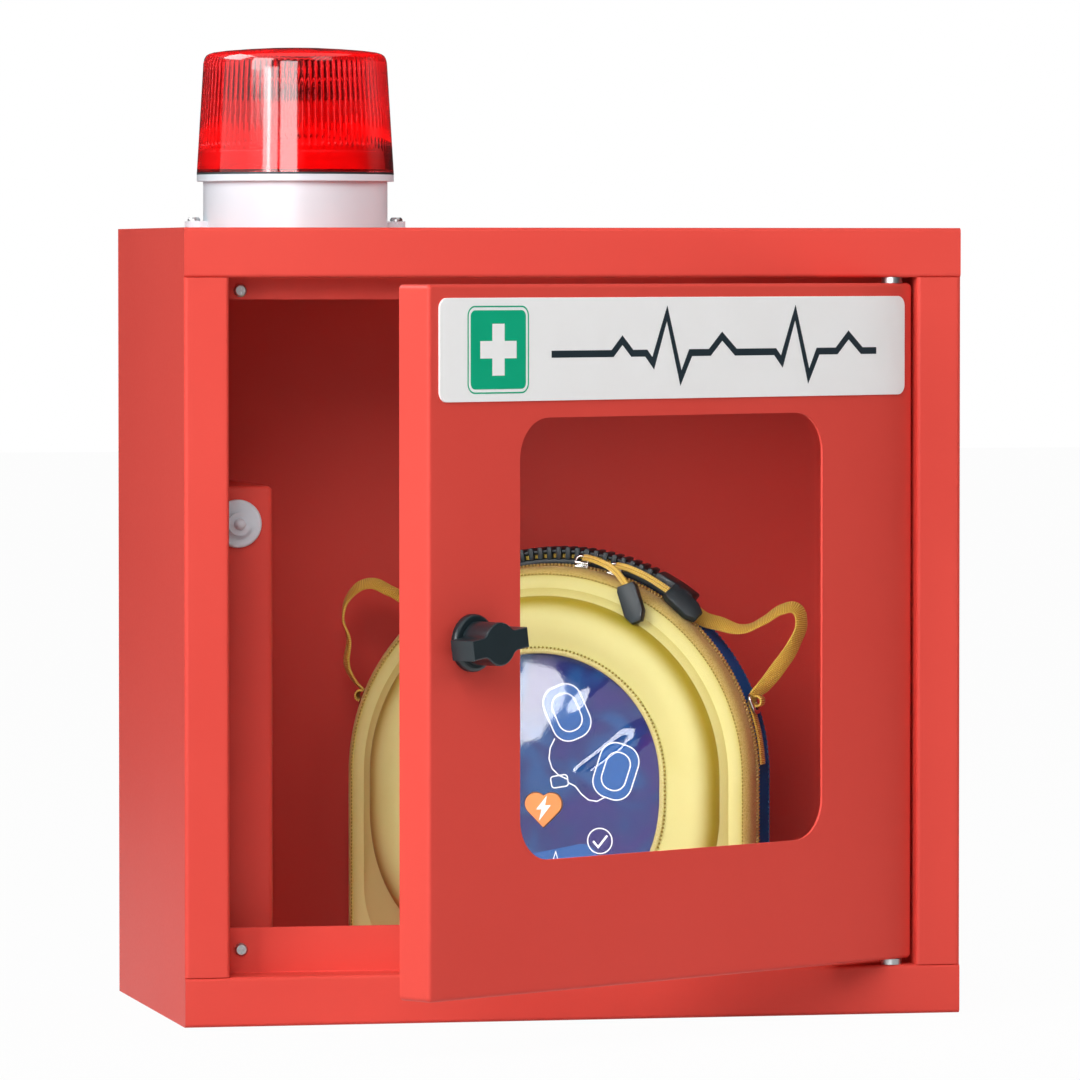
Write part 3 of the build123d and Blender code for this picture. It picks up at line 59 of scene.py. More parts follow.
DOOR_TURN = radians(34.0)
DOOR = frame_of(
    (165.5, -99.0, 0.0),
    Vector((cos(DOOR_TURN), sin(DOOR_TURN), 0)),
    Vector((sin(DOOR_TURN), -cos(DOOR_TURN), 0)),
)
CASE_TURN = radians(27.0)
CASE = frame_of(
    (12.6, 10.0, 117.8),
    Vector((cos(CASE_TURN), -sin(CASE_TURN), 0)),
    Vector((-sin(CASE_TURN), -cos(CASE_TURN), 0)),
)
BEACON = Matrix.Translation(Vector((-124.7, 0.0, 400.0)) * MM) @ Matrix.Scale(MM, 4)

# ---------------------------------------------------------------------------
# Making materials
# ---------------------------------------------------------------------------


def tone(hex_colour):
    """sRGB hex to linear RGBA."""
    channels = [int(hex_colour[i:i + 2], 16) / 255 for i in (1, 3, 5)]
    return [c / 12.92 if c <= 0.04045 else ((c + 0.055) / 1.055) ** 2.4 for c in channels] + [1.0]


def pick(sockets, name):
    """The socket of that number, or the one in use of that name, or the first in use."""
    if isinstance(name, int):
        return sockets[name]
    return next(s for s in sockets if s.enabled and name in (None, s.name))


def add(material, kind, values=None, links=None, **settings):
    """Adds a shader node: its settings, its sockets' values, and the (node, output) that feed it."""
    tree = material.node_tree
    made = tree.nodes.new(kind)
    for name, setting in settings.items():
        setattr(made, name, setting)
    for socket, value in (values or {}).items():
        pick(made.inputs, socket).default_value = value
    for socket, (source, output) in (links or {}).items():
        tree.links.new(pick(source.outputs, output), pick(made.inputs, socket))
    return made


def start(name):
    """New material without nodes."""
    material = bpy.data.materials.new(name)
    material.use_nodes = True
    material.node_tree.nodes.clear()
    return material


def close(material, shader):
    add(material, "ShaderNodeOutputMaterial", links={"Surface": (shader, None)})
    return material


def powder_coat(name, dark, light):
    # Polyester powder coat on folded steel, satin: the eye sees an even red with a
    # fine orange peel, cells of about 1.5 mm, that breaks up the reflections.
    material = start(name)
    place = add(material, "ShaderNodeTexCoord")
    peel = add(
        material, "ShaderNodeTexNoise", {"Scale": 1 / 0.0015, "Detail": 2.0},
        {"Vector": (place, "Object")},
    )
    drift = add(
        material, "ShaderNodeTexNoise", {"Scale": 9.0, "Detail": 3.0},
        {"Vector": (place, "Object")},
    )
    colour = add(
        material, "ShaderNodeMix", {"A": tone(dark), "B": tone(light)},
        {"Factor": (drift, "Fac")}, data_type="RGBA",
    )
    bump = add(
        material, "ShaderNodeBump", {"Strength": 0.35, "Distance": 0.00006},
        {"Height": (peel, "Fac")},
    )
    rough = add(
        material, "ShaderNodeMapRange", {"To Min": 0.42, "To Max": 0.52}, {"Value": (peel, "Fac")},
    )
    return close(material, add(
        material, "ShaderNodeBsdfPrincipled", {"IOR": 1.5, "Specular IOR Level": 0.16},
        {"Base Color": (colour, "Result"), "Roughness": (rough, "Result"), "Normal": (bump, None)},
    ))


def moulded(name, dark, light, rough, grain=0.0008, depth=0.00003, **sockets):
    # Injection-moulded plastic or rubber: an even colour with the fine grain of the
    # spark-eroded mould, cells of about 0.8 mm, and slightly uneven gloss.
    material = start(name)
    place = add(material, "ShaderNodeTexCoord")
    cells = add(
        material, "ShaderNodeTexNoise", {"Scale": 1 / grain, "Detail": 3.0},
        {"Vector": (place, "Object")},
    )
    drift = add(
        material, "ShaderNodeTexNoise", {"Scale": 45.0, "Detail": 4.0},
        {"Vector": (place, "Object")},
    )
    colour = add(
        material, "ShaderNodeMix", {"A": tone(dark), "B": tone(light)},
        {"Factor": (drift, "Fac")}, data_type="RGBA",
    )
    bump = add(
        material, "ShaderNodeBump", {"Strength": 0.4, "Distance": depth}, {"Height": (cells, "Fac")},
    )
    uneven = add(
        material, "ShaderNodeMapRange", {"To Min": rough * 0.85, "To Max": rough * 1.15},
        {"Value": (drift, "Fac")},
    )
    return close(material, add(
        material, "ShaderNodeBsdfPrincipled", {"IOR": 1.5, **sockets},
        {"Base Color": (colour, "Result"), "Roughness": (uneven, "Result"), "Normal": (bump, None)},
    ))


def metal(name, dark, light, rough):
    # Plated steel wire, screws and pressings: bright, with fine streaks of the plating
    # about 0.5 mm apart that blur the reflections.
    material = start(name)
    place = add(material, "ShaderNodeTexCoord")
    streaks = add(
        material, "ShaderNodeTexNoise", {"Scale": 1 / 0.0005, "Detail": 3.0},
        {"Vector": (place, "Object")},
    )
    colour = add(
        material, "ShaderNodeMix", {"A": tone(dark), "B": tone(light)},
        {"Factor": (streaks, "Fac")}, data_type="RGBA",
    )
    uneven = add(
        material, "ShaderNodeMapRange", {"To Min": rough * 0.7, "To Max": rough * 1.3},
        {"Value": (streaks, "Fac")},
    )
    bump = add(
        material, "ShaderNodeBump", {"Strength": 0.3, "Distance": 0.00002}, {"Height": (streaks, "Fac")},
    )
    return close(material, add(
        material, "ShaderNodeBsdfPrincipled", {"Metallic": 1.0},
        {"Base Color": (colour, "Result"), "Roughness": (uneven, "Result"), "Normal": (bump, None)},
    ))


def clear(name, tint, rough, ior):
    # Clear plastic or glass: what is behind shows through, with a faint haze.
    material = start(name)
    place = add(material, "ShaderNodeTexCoord")
    haze = add(
        material, "ShaderNodeTexNoise", {"Scale": 60.0, "Detail": 4.0}, {"Vector": (place, "Object")},
    )
    uneven = add(
        material, "ShaderNodeMapRange", {"To Min": rough * 0.5, "To Max": rough * 1.5},
        {"Value": (haze, "Fac")},
    )
    return close(material, add(
        material, "ShaderNodeBsdfPrincipled",
        {"Base Color": tone(tint), "Transmission Weight": 1.0, "IOR": ior},
        {"Roughness": (uneven, "Result")},
    ))


def lens_red():
    # Injection-moulded red polycarbonate: clear and glossy; lamps shine in through it.
    material = start("red_clear_polycarbonate")
    place = add(material, "ShaderNodeTexCoord")
    flow = add(
        material, "ShaderNodeTexNoise", {"Scale": 40.0, "Detail": 3.0}, {"Vector": (place, "Object")},
    )
    uneven = add(
        material, "ShaderNodeMapRange", {"To Min": 0.04, "To Max": 0.12}, {"Value": (flow, "Fac")},
    )
    glass = add(
        material, "ShaderNodeBsdfPrincipled",
        {"Base Color": tone("#FF5A60"), "Transmission Weight": 1.0, "IOR": 1.585},
        {"Roughness": (uneven, "Result")},
    )
    through = add(material, "ShaderNodeBsdfTransparent", {"Color": tone("#FF8C92")})
    path = add(material, "ShaderNodeLightPath")
    return close(material, add(
        material, "ShaderNodeMixShader",
        links={0: (path, "Is Shadow Ray"), 1: (glass, None), 2: (through, None)},
    ))


def laminated_eva():
    # Stretch fabric laminated on moulded EVA foam: pale where it faces the case's front,
    # with painted shade of a deep mustard on the steep walls, deeper the more they turn
    # away from the front; matt, with a knit of 0.6 mm that shows only as a soft grain.
    material = start("yellow_fabric_on_eva_foam")
    place = add(material, "ShaderNodeTexCoord")
    surface = add(material, "ShaderNodeNewGeometry")
    facing = add(
        material, "ShaderNodeVectorMath", {1: (-sin(CASE_TURN), -cos(CASE_TURN), 0)},
        {0: (surface, "Normal")}, operation="DOT_PRODUCT",
    )
    # Share of the pale colour: 1 where the surface faces the case's front, 0 on the steep walls that take the
    # painted shade.
    painted_shade_factor = add(
        material, "ShaderNodeMapRange", {"From Min": 0.42, "From Max": 0.985},
        {"Value": (facing, "Value")}, interpolation_type="SMOOTHSTEP",
    )
    drift = add(
        material, "ShaderNodeTexNoise", {"Scale": 30.0, "Detail": 3.0}, {"Vector": (place, "Object")},
    )
    pale = add(
        material, "ShaderNodeMix", {"A": tone("#E4DC88"), "B": tone("#EBE69C")},
        {"Factor": (drift, "Fac")}, data_type="RGBA",
    )
    # Painted shade: the steep walls take the deep mustard below, whichever way they are lit.
    colour = add(
        material, "ShaderNodeMix", {"A": tone("#C2B020")},
        {"Factor": (painted_shade_factor, "Result"), "B": (pale, "Result")}, data_type="RGBA",
    )
    knit = add(
        material, "ShaderNodeTexVoronoi", {"Scale": 1 / 0.0006}, {"Vector": (place, "Object")},
    )
    bump = add(
        material, "ShaderNodeBump", {"Strength": 0.25, "Distance": 0.00006},
        {"Height": (knit, "Distance")},
    )
    return close(material, add(
        material, "ShaderNodeBsdfPrincipled", {"Roughness": 0.62, "IOR": 1.45, "Sheen Weight": 0.12},
        {"Base Color": (colour, "Result"), "Normal": (bump, None)},
    ))


def woven(name, dark, light, thread, rough=0.75):
    # Woven polyester tape: matt, with a twill of raised threads across the tape.
    material = start(name)
    place = add(material, "ShaderNodeTexCoord")
    ribs = add(
        material, "ShaderNodeTexVoronoi", {"Scale": 1 / thread}, {"Vector": (place, "Object")},
    )
    colour = add(
        material, "ShaderNodeMix", {"A": tone(light), "B": tone(dark)},
        {"Factor": (ribs, "Distance")}, data_type="RGBA",
    )
    bump = add(
        material, "ShaderNodeBump", {"Strength": 0.7, "Distance": 0.00015}, {"Height": (ribs, "Distance")},
    )
    return close(material, add(
        material, "ShaderNodeBsdfPrincipled", {"Roughness": rough, "Sheen Weight": 0.1},
        {"Base Color": (colour, "Result"), "Normal": (bump, None)},
    ))


def overlay_print():
    # Polyester overlay printed on its back in deep blue, with painted reflection over it: soft
    # violet and lighter blue fields some 20 mm across where the clear sheet mirrors and bends the light, under
    # a fine satin texture.
    material = start("printed_polyester_overlay")
    place = add(material, "ShaderNodeTexCoord")
    painted_reflection_fields = add(
        material, "ShaderNodeTexNoise", {"Scale": 1 / 0.022, "Detail": 1.0, "Distortion": 0.6},
        {"Vector": (place, "Object")},
    )
    # Painted reflection: the violet and lighter blue stops stand for what the clear sheet above mirrors and
    # bends; the deep blue is the print.
    ramp = add(material, "ShaderNodeValToRGB", links={"Fac": (painted_reflection_fields, "Fac")})
    ramp.color_ramp.elements[0].position, ramp.color_ramp.elements[0].color = 0.38, tone("#281C66")
    ramp.color_ramp.elements[1].position, ramp.color_ramp.elements[1].color = 0.50, tone("#172465")
    field = ramp.color_ramp.elements.new(0.64)
    field.color = tone("#15457E")
    grain = add(
        material, "ShaderNodeTexNoise", {"Scale": 1 / 0.0006}, {"Vector": (place, "Object")},
    )
    bump = add(
        material, "ShaderNodeBump", {"Strength": 0.2, "Distance": 0.00002}, {"Height": (grain, "Fac")},
    )
    return close(material, add(
        material, "ShaderNodeBsdfPrincipled", {"Roughness": 0.5, "Specular IOR Level": 0.12},
        {"Base Color": (ramp, "Color"), "Normal": (bump, None)},
    ))


def ribbed_webbing():
    # Woven nylon webbing: raised ribs across its width, 0.95 mm apart, golden, with a
    # painted highlight on their crowns and painted shade between them; its map counts millimetres along the
    # strap.
    material = start("yellow_ribbed_nylon_webbing")
    route = add(material, "ShaderNodeUVMap", uv_map="length")
    split = add(material, "ShaderNodeSeparateXYZ", links={"Vector": (route, "UV")})
    phase = add(
        material, "ShaderNodeMath", {1: 2 * pi / 0.95}, {0: (split, "X")}, operation="MULTIPLY",
    )
    wave = add(material, "ShaderNodeMath", links={0: (phase, None)}, operation="COSINE")
    rib_height_and_painted_shade = add(
        material, "ShaderNodeMapRange", {"From Min": -1.0, "From Max": 1.0}, {"Value": (wave, None)},
    )
    # Painted highlight and shade: the colour runs with the rib height, dark in the grooves and pale on the
    # crowns.
    colour = add(
        material, "ShaderNodeMix", {"A": tone("#CC9418"), "B": tone("#FFE468")},
        {"Factor": (rib_height_and_painted_shade, "Result")}, data_type="RGBA",
    )
    bump = add(
        material, "ShaderNodeBump", {"Strength": 0.8, "Distance": 0.00025},
        {"Height": (rib_height_and_painted_shade, "Result")},
    )
    return close(material, add(
        material, "ShaderNodeBsdfPrincipled", {"Roughness": 0.6, "Sheen Weight": 0.1},
        {"Base Color": (colour, "Result"), "Normal": (bump, None)},
    ))


def braid():
    # Braided polyester cord: plaits of yellow yarn about 1 mm long crossing both ways,
    # with painted shade of orange in the gaps and the palest tone on the plaits' crowns.  The pattern follows
    # the cord's own map.
    material = start("yellow_braided_polyester")
    route = add(material, "ShaderNodeUVMap", uv_map="braid")
    split = add(material, "ShaderNodeSeparateXYZ", links={"Vector": (route, "UV")})
    along = add(
        material, "ShaderNodeMath", {1: 2 * pi / 2.4}, {0: (split, "X")}, operation="MULTIPLY",
    )
    ways = []
    for turns in (6.0, -6.0):
        twist = add(
            material, "ShaderNodeMath", {1: turns * pi}, {0: (split, "Y")}, operation="MULTIPLY",
        )
        both = add(
            material, "ShaderNodeMath", links={0: (twist, None), 1: (along, None)}, operation="ADD",
        )
        ways.append(add(material, "ShaderNodeMath", links={0: (both, None)}, operation="SINE"))
    plait = add(
        material, "ShaderNodeMath", links={0: (ways[0], None), 1: (ways[1], None)},
        operation="MULTIPLY",
    )
    level = add(
        material, "ShaderNodeMapRange", {"From Min": -1.0, "From Max": 1.0}, {"Value": (plait, None)},
    )
    # Painted shade: the ramp runs with the plait height, darkest orange where the plaits dip and palest on
    # their crowns.
    ramp = add(material, "ShaderNodeValToRGB", links={"Fac": (level, "Result")})
    ramp.color_ramp.elements[0].position = 0.08
    ramp.color_ramp.elements[0].color = tone("#B8780E")
    ramp.color_ramp.elements[1].position = 0.3
    ramp.color_ramp.elements[1].color = tone("#FAD038")
    for position, colour in ((0.78, "#FCD850"), (0.94, "#FFFBE4")):
        ramp.color_ramp.elements.new(position).color = tone(colour)
    bump = add(
        material, "ShaderNodeBump", {"Strength": 0.8, "Distance": 0.0002}, {"Height": (plait, None)},
    )
    return close(material, add(
        material, "ShaderNodeBsdfPrincipled", {"Roughness": 0.6, "Sheen Weight": 0.1},
        {"Base Color": (ramp, "Color"), "Normal": (bump, None)},
    ))


finishes = {
    "red_powder_coat": powder_coat("red_polyester_powder_coat", "#DE483E", "#E45045"),
    "zinc_plate": metal("zinc_plated_steel", "#9FA1A3", "#CFD0D0", 0.35),
    "black_nylon": moulded("black_moulded_nylon", "#162226", "#1E2D33", 0.34),
    "white_abs": moulded("white_moulded_abs", "#D8E4EC", "#E0EAF0", 0.3),
    "battery_grey": moulded("grey_battery_case", "#5A5D61", "#686C70", 0.45),
    "circuit_green": moulded("green_solder_mask", "#1E5B3A", "#2A6B47", 0.3),
    "red_lens": lens_red(),
    "flash_glass": clear("quartz_flash_tube", "#FFFFFF", 0.02, 1.46),
    "clear_acrylic": clear("clear_acrylic_sheet", "#FFFFFF", 0.01, 1.49),
    "clear_vinyl": clear("clear_vinyl_sheet", "#FFFFFF", 0.03, 1.45),
    "sign_white": moulded("white_sign_vinyl", "#FAF9F8", "#FFFFFF", 0.35),
    "yellow_eva": laminated_eva(),
    "blue_eva": moulded("navy_laminated_eva", "#0066C0", "#006ECA", 0.7, **{"Specular IOR Level": 0.1}),
    "pale_binding": woven("pale_woven_binding", "#CFC26A", "#ECE4A6", 0.0006),
    "pale_thread": moulded("ochre_sewing_thread", "#8E7E1C", "#A89632", 0.6),
    "zip_tape": woven("tan_woven_zip_tape", "#C4A848", "#EAD684", 0.0007),
    "zip_coil": moulded("brown_nylon_zip_coil", "#A8843C", "#D8B868", 0.4),
    "blue_thread": moulded("navy_sewing_thread", "#2A5C9C", "#4478B8", 0.6),
    "yellow_webbing": ribbed_webbing(),
    "circuit_white": moulded("white_solder_mask", "#F2F2F0", "#FFFFFF", 0.3),
    "yellow_cord": braid(),
    "sign_green": moulded("green_sign_vinyl", "#00A87C", "#00B084", 0.5, **{"Specular IOR Level": 0.2}),
    "sign_ink": moulded("dark_sign_ink", "#1D2B33", "#24333B", 0.4),
    "overlay_light": moulded("light_blue_print", "#1C5092", "#245CA0", 0.5, **{"Specular IOR Level": 0.1}),
    "overlay_white": moulded("white_print", "#EEF1F6", "#F8FAFC", 0.5, **{"Specular IOR Level": 0.1}),
    "black_rubber": moulded("black_moulded_rubber", "#162226", "#1E2E34", 0.45),
    "nickel_wire": metal("nickel_plated_wire", "#C4C2BE", "#E9E7E2", 0.2),
    "aed_blue": moulded("navy_device_housing", "#233A78", "#2A4488", 0.35),
    "overlay_film": overlay_print(),
    "button_orange": moulded("orange_silicone_key", "#E67A1C", "#EE8826", 0.4),
    "button_green": moulded("green_silicone_key", "#2C9A57", "#35A862", 0.4),
}

for row in frame["record"]["subparts"]:
    shown = frame["nodes"].get(row["node"])
    if shown is not None:
        shown.data.materials.clear()
        shown.data.materials.append(finishes[row["material_slot"]])

# ---------------------------------------------------------------------------
# Making pieces
# ---------------------------------------------------------------------------


def piece(mesh, name, finish, body, frame_matrix=None, smooth=35, replaces=None):
    """Sets a finished bmesh in its place and makes it a piece that rides on a body."""
    if frame_matrix is not None:
        bmesh.ops.transform(mesh, matrix=frame_matrix, verts=mesh.verts)
    data = bpy.data.meshes.new(name)
    mesh.to_mesh(data)
    mesh.free()
    data.shade_smooth()
    data.set_sharp_from_angle(angle=radians(smooth))
    data.materials.append(finish)
    made = bpy.data.objects.new(name, data)
    bpy.context.scene.collection.objects.link(made)
    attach(made, body)
    if replaces:
        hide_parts(replaces)
    return made


def subdivide(made, levels=2):
    modifier = made.modifiers.new("smooth", "SUBSURF")
    modifier.levels = levels
    modifier.render_levels = levels


def straight(mesh, tip, step, count):
    """Runs on from a vertex by a number of equal steps; returns the last vertex."""
    for _ in range(count):
        made = bmesh.ops.extrude_vert_indiv(mesh, verts=[tip])
        tip = made["verts"][0]
        bmesh.ops.translate(mesh, vec=Vector(step), verts=[tip])
    return tip


def turned(mesh, tip, centre, angle, count, axis=(0, 0, 1)):
    """Turns on from a vertex round a centre; returns the last vertex."""
    made = bmesh.ops.spin(
        mesh, geom=[tip], cent=centre, axis=axis, angle=radians(angle), steps=count
    )
    return [v for v in made["geom_last"] if isinstance(v, bmesh.types.BMVert)][0]


def film(mesh, points, low, high):
    """Flat shape cut from film, between two heights of its frame."""
    made = [mesh.verts.new((*p, low)) for p in points]
    face = mesh.faces.new(made)
    swept = bmesh.ops.extrude_face_region(mesh, geom=[face], use_keep_orig=True)
    top = [v for v in swept["geom"] if isinstance(v, bmesh.types.BMVert)]
    bmesh.ops.translate(mesh, vec=(0, 0, high - low), verts=top)
    bmesh.ops.recalc_face_normals(mesh, faces=mesh.faces)


def arch_loop(mesh, radius, foot, corner, z, count=(5, 8, 8, 26)):
    """Closed loop of an arch: half circle on straight sides, with round lower corners."""
    before = set(mesh.edges)
    first = bmesh.ops.create_vert(mesh, co=(0, -foot, z))["vert"][0]
    tip = straight(mesh, first, ((radius - corner) / count[0], 0, 0), count[0])
    tip = turned(mesh, tip, (radius - corner, corner - foot, z), 90, count[1])
    tip = straight(mesh, tip, (0, (foot - corner) / count[2], 0), count[2])
    tip = turned(mesh, tip, (0, 0, z), 90, count[3])
    half = [e for e in mesh.edges if e not in before]
    ends = {v for e in half for v in e.verts}
    bmesh.ops.mirror(mesh, geom=half + list(ends), axis="X", merge_dist=0.001)
    return [e for e in mesh.edges if e not in before]


def loft(mesh, profile, **kwargs):
    """Joins the arch loops of a profile, each (radius, foot, corner, z); returns the loops."""
    loops = [arch_loop(mesh, *row, **kwargs) for row in profile]
    rings = []
    for loop in loops:
        verts = {v for e in loop for v in e.verts}
        rings.append(sorted(verts, key=lambda v: (atan2(v.co.x, -8 - v.co.y) + 0.01) % (2 * pi)))
    for inner, outer in zip(rings, rings[1:]):
        for i in range(len(inner)):
            mesh.faces.new((inner[i - 1], inner[i], outer[i], outer[i - 1]))
    return loops


def arch_walk(radius, foot, corner, pitch, offset=0.0):
    """Points and headings along an arch's outline, anticlockwise, an even pitch apart."""
    side = foot - corner
    run = radius - corner
    legs = [("line", run, (0, -foot), (1, 0)), ("arc", corner, (run, -side), -90)]
    legs += [("line", side, (radius, -side), (0, 1)), ("arc", radius, (0, 0), 0)]
    legs += [("arc", radius, (0, 0), 90), ("line", side, (-radius, 0), (0, -1))]
    legs += [("arc", corner, (-run, -side), 180), ("line", run, (-run, -foot), (1, 0))]
    whole = 2 * (run + side) + pi * (corner + radius)
    count = round(whole / pitch)
    spots = []
    for i in range(count):
        left = (i + offset) * whole / count
        for kind, size, place, heading in legs:
            span = size if kind == "line" else size * pi / 2
            if left <= span:
                break
            left -= span
        if kind == "line":
            spots.append((place[0] + heading[0] * left, place[1] + heading[1] * left, Vector((*heading, 0))))
        else:
            at = radians(heading) + left / size
            spots.append((place[0] + size * cos(at), place[1] + size * sin(at), Vector((-sin(at), cos(at), 0))))
    return spots


def arc_block(mesh, r0, r1, z0, z1, a0, a1, count, bevel=0.0):
    """Block between two radii and two depths, along an arc given in degrees from the top."""
    before = set(mesh.verts)
    made = bmesh.ops.create_grid(mesh, x_segments=1, y_segments=1, size=0.5)
    face = list({f for v in made["verts"] for f in v.link_faces})
    bmesh.ops.scale(mesh, vec=(r1 - r0, z1 - z0, 1), verts=made["verts"])
    bmesh.ops.translate(mesh, vec=((r0 + r1) / 2, (z0 + z1) / 2, 0), verts=made["verts"])
    stand = Matrix.Rotation(radians(90 - a0), 4, "Z") @ Matrix.Rotation(radians(90), 4, "X")
    bmesh.ops.transform(mesh, matrix=stand, verts=made["verts"])
    swept = bmesh.ops.spin(
        mesh, geom=face, cent=(0, 0, 0), axis=(0, 0, -1), angle=radians(a1 - a0), steps=count
    )
    parts = [v for v in mesh.verts if v not in before]
    bmesh.ops.remove_doubles(mesh, verts=parts, dist=0.0001)
    parts = [v for v in mesh.verts if v not in before]
    faces = list({f for v in parts for f in v.link_faces})
    bmesh.ops.recalc_face_normals(mesh, faces=faces)
    if bevel:
        edges = [e for e in {e for v in parts for e in v.link_edges} if e.calc_face_angle(0) > 0.8]
        bmesh.ops.bevel(
            mesh, geom=edges, offset=bevel, affect="EDGES", segments=2, profile=0.5, material=-1
        )

# ---------------------------------------------------------------------------
# Carry case: moulded shells
# ---------------------------------------------------------------------------
CASE_ARCH = (107.3, 115.9, 25.0)
WINDOW_ARCH = (63.7, 75.0, 61.0)

shell = bmesh.new()
loft(shell, [
    (104.4, 113.0, 22.2, 3.0), (107.0, 115.6, 24.7, 3.0), (107.3, 115.9, 25.0, 4.2),
    (107.3, 115.9, 25.0, 9.0), (106.6, 115.2, 24.3, 12.4), (104.7, 113.3, 22.6, 15.4),
    (101.7, 110.4, 22.0, 17.4), (98.3, 107.4, 36.0, 18.1), (96.2, 105.7, 60.0, 18.1),
    (94.9, 104.7, 76.0, 17.8), (94.3, 104.2, 79.5, 17.3), (94.0, 104.0, 79.8, 17.0),
    (93.6, 103.6, 79.4, 18.4), (92.9, 103.0, 78.8, 21.2), (91.6, 101.8, 77.6, 25.0),
    (89.2, 99.6, 75.4, 28.8), (86.0, 96.6, 72.6, 31.5), (82.3, 93.1, 69.6, 32.8),
    (78.0, 88.8, 66.2, 33.0), (73.6, 84.5, 63.8, 32.5), (69.8, 80.9, 62.6, 31.6),
    (67.0, 78.2, 62.0, 30.9), (64.4, 75.7, 61.2, 30.6), (63.7, 75.0, 61.0, 29.9),
    (63.9, 75.2, 61.0, 27.0), (90.0, 100.0, 70.0, 25.0), (104.4, 113.0, 22.2, 12.0),
    (104.4, 113.0, 22.2, 3.0),
])
bmesh.ops.remove_doubles(shell, verts=shell.verts, dist=0.001)
bmesh.ops.recalc_face_normals(shell, faces=shell.faces)
front_shell = piece(shell, "case_front", finishes["yellow_eva"], "case", CASE, 60, "case_front_shell")
subdivide(front_shell)

shell = bmesh.new()
loops = loft(shell, [
    (104.4, 113.0, 22.2, -14.0), (104.4, 113.0, 22.2, -3.0), (107.0, 115.6, 24.7, -3.0),
    (107.3, 115.9, 25.0, -4.2), (107.3, 115.9, 25.0, -10.0), (107.3, 115.9, 25.0, -20.0),
    (107.3, 115.9, 25.0, -29.0), (106.5, 115.1, 24.2, -33.6), (104.2, 112.8, 21.9, -36.6),
    (100.5, 109.1, 18.4, -37.9), (96.0, 104.6, 16.0, -38.0), (84.0, 92.6, 14.0, -38.0),
])
bmesh.ops.holes_fill(shell, edges=loops[-1], sides=0)
bmesh.ops.holes_fill(shell, edges=loops[0], sides=0)
bmesh.ops.recalc_face_normals(shell, faces=shell.faces)
back_shell = piece(shell, "case_back", finishes["blue_eva"], "case", CASE, 60, "case_back_shell")
subdivide(back_shell)

# ---------------------------------------------------------------------------
# Zip: tape round the shells' meeting edges, and its two rows of coil teeth
# ---------------------------------------------------------------------------
tape = bmesh.new()
loft(tape, [
    (103.4, 112.0, 22.4, 15.6), (103.3, 111.9, 22.3, 17.1), (104.9, 113.5, 23.0, 16.1),
    (107.0, 115.6, 24.7, 12.9), (107.7, 116.2, 25.3, 9.0), (107.75, 116.25, 25.35, 5.0),
    (107.75, 116.25, 25.35, 2.6), (107.6, 116.2, 25.3, 1.8), (107.6, 116.2, 25.3, -1.8),
    (107.75, 116.25, 25.35, -2.4), (107.7, 116.2, 25.3, -4.2), (107.2, 115.8, 24.9, -4.6),
    (104.9, 113.5, 22.7, -3.0), (104.9, 113.5, 22.7, 3.0), (103.4, 112.0, 22.4, 15.6),
])
bmesh.ops.remove_doubles(tape, verts=tape.verts, dist=0.001)
bmesh.ops.recalc_face_normals(tape, faces=tape.faces)
zip_tape = piece(tape, "zip_tape", finishes["zip_tape"], "case", CASE, 60, "case_zip")
subdivide(zip_tape, 1)


def seam(name, spots, size, lean, lift, depth, finish, radius=None):
    """Row of small rounded stitches or teeth on spots of an arch, each size = (along, out, forward)."""
    mesh = bmesh.new()
    for x, y, heading in spots:
        out = heading.cross(Vector((0, 0, 1)))
        turn = Matrix((heading, out, Vector((0, 0, 1)))).transposed().to_4x4()
        place = Matrix.Translation(Vector((x, y, depth)) + out * lift)
        stand = place @ turn @ Matrix.Rotation(radians(lean), 4, "Y")
        bmesh.ops.create_cube(mesh, size=1.0, matrix=stand @ Matrix.Diagonal((*size, 1)))
    bmesh.ops.bevel(
        mesh, geom=mesh.edges[:], offset=min(size) * 0.3, affect="EDGES", segments=1,
        profile=0.5, material=-1,
    )
    return piece(mesh, name, finish, "case", CASE, 50)


above_foot = [spot for spot in arch_walk(*CASE_ARCH, 1.9) if spot[1] > -108]
above_foot_late = [spot for spot in arch_walk(*CASE_ARCH, 1.9, 0.5) if spot[1] > -108]
seam("zip_teeth_front", above_foot, (1.1, 1.5, 2.2), 14, 0.85, 0.95, finishes["zip_coil"])
seam("zip_teeth_back", above_foot_late, (1.1, 1.5, 2.2), -14, 0.85, -0.95, finishes["zip_coil"])
seam(
    "tape_edge_stitches", arch_walk(104.0, 112.6, 22.6, 1.9), (1.2, 0.6, 0.6), 0, 0.0, 16.75,
    finishes["pale_thread"],
)
seam(
    "back_edge_stitches", arch_walk(107.3, 115.9, 25.0, 2.6), (1.5, 0.7, 1.6), 0, 0.25, -27.4,
    finishes["blue_thread"],
)

# ---------------------------------------------------------------------------
# Window: piped border, its stitches, and the clear sheet
# ---------------------------------------------------------------------------
border = bmesh.new()
loft(border, [
    (63.6, 74.9, 60.9, 29.4), (63.5, 74.8, 60.8, 31.6), (64.3, 75.6, 61.6, 32.4),
    (65.6, 76.9, 62.9, 32.5), (66.7, 78.0, 64.0, 32.1), (67.0, 78.3, 64.3, 30.6),
    (65.0, 76.3, 62.3, 29.0), (63.6, 74.9, 60.9, 29.4),
])
bmesh.ops.remove_doubles(border, verts=border.verts, dist=0.001)
bmesh.ops.recalc_face_normals(border, faces=border.faces)
window_border = piece(border, "window_border", finishes["pale_binding"], "case", CASE, 60, "window_trim")
subdivide(window_border, 1)
seam(
    "window_stitches", arch_walk(66.8, 78.1, 64.1, 2.1), (1.0, 1.1, 0.9), 0, 0.0, 32.3,
    finishes["pale_thread"],
)

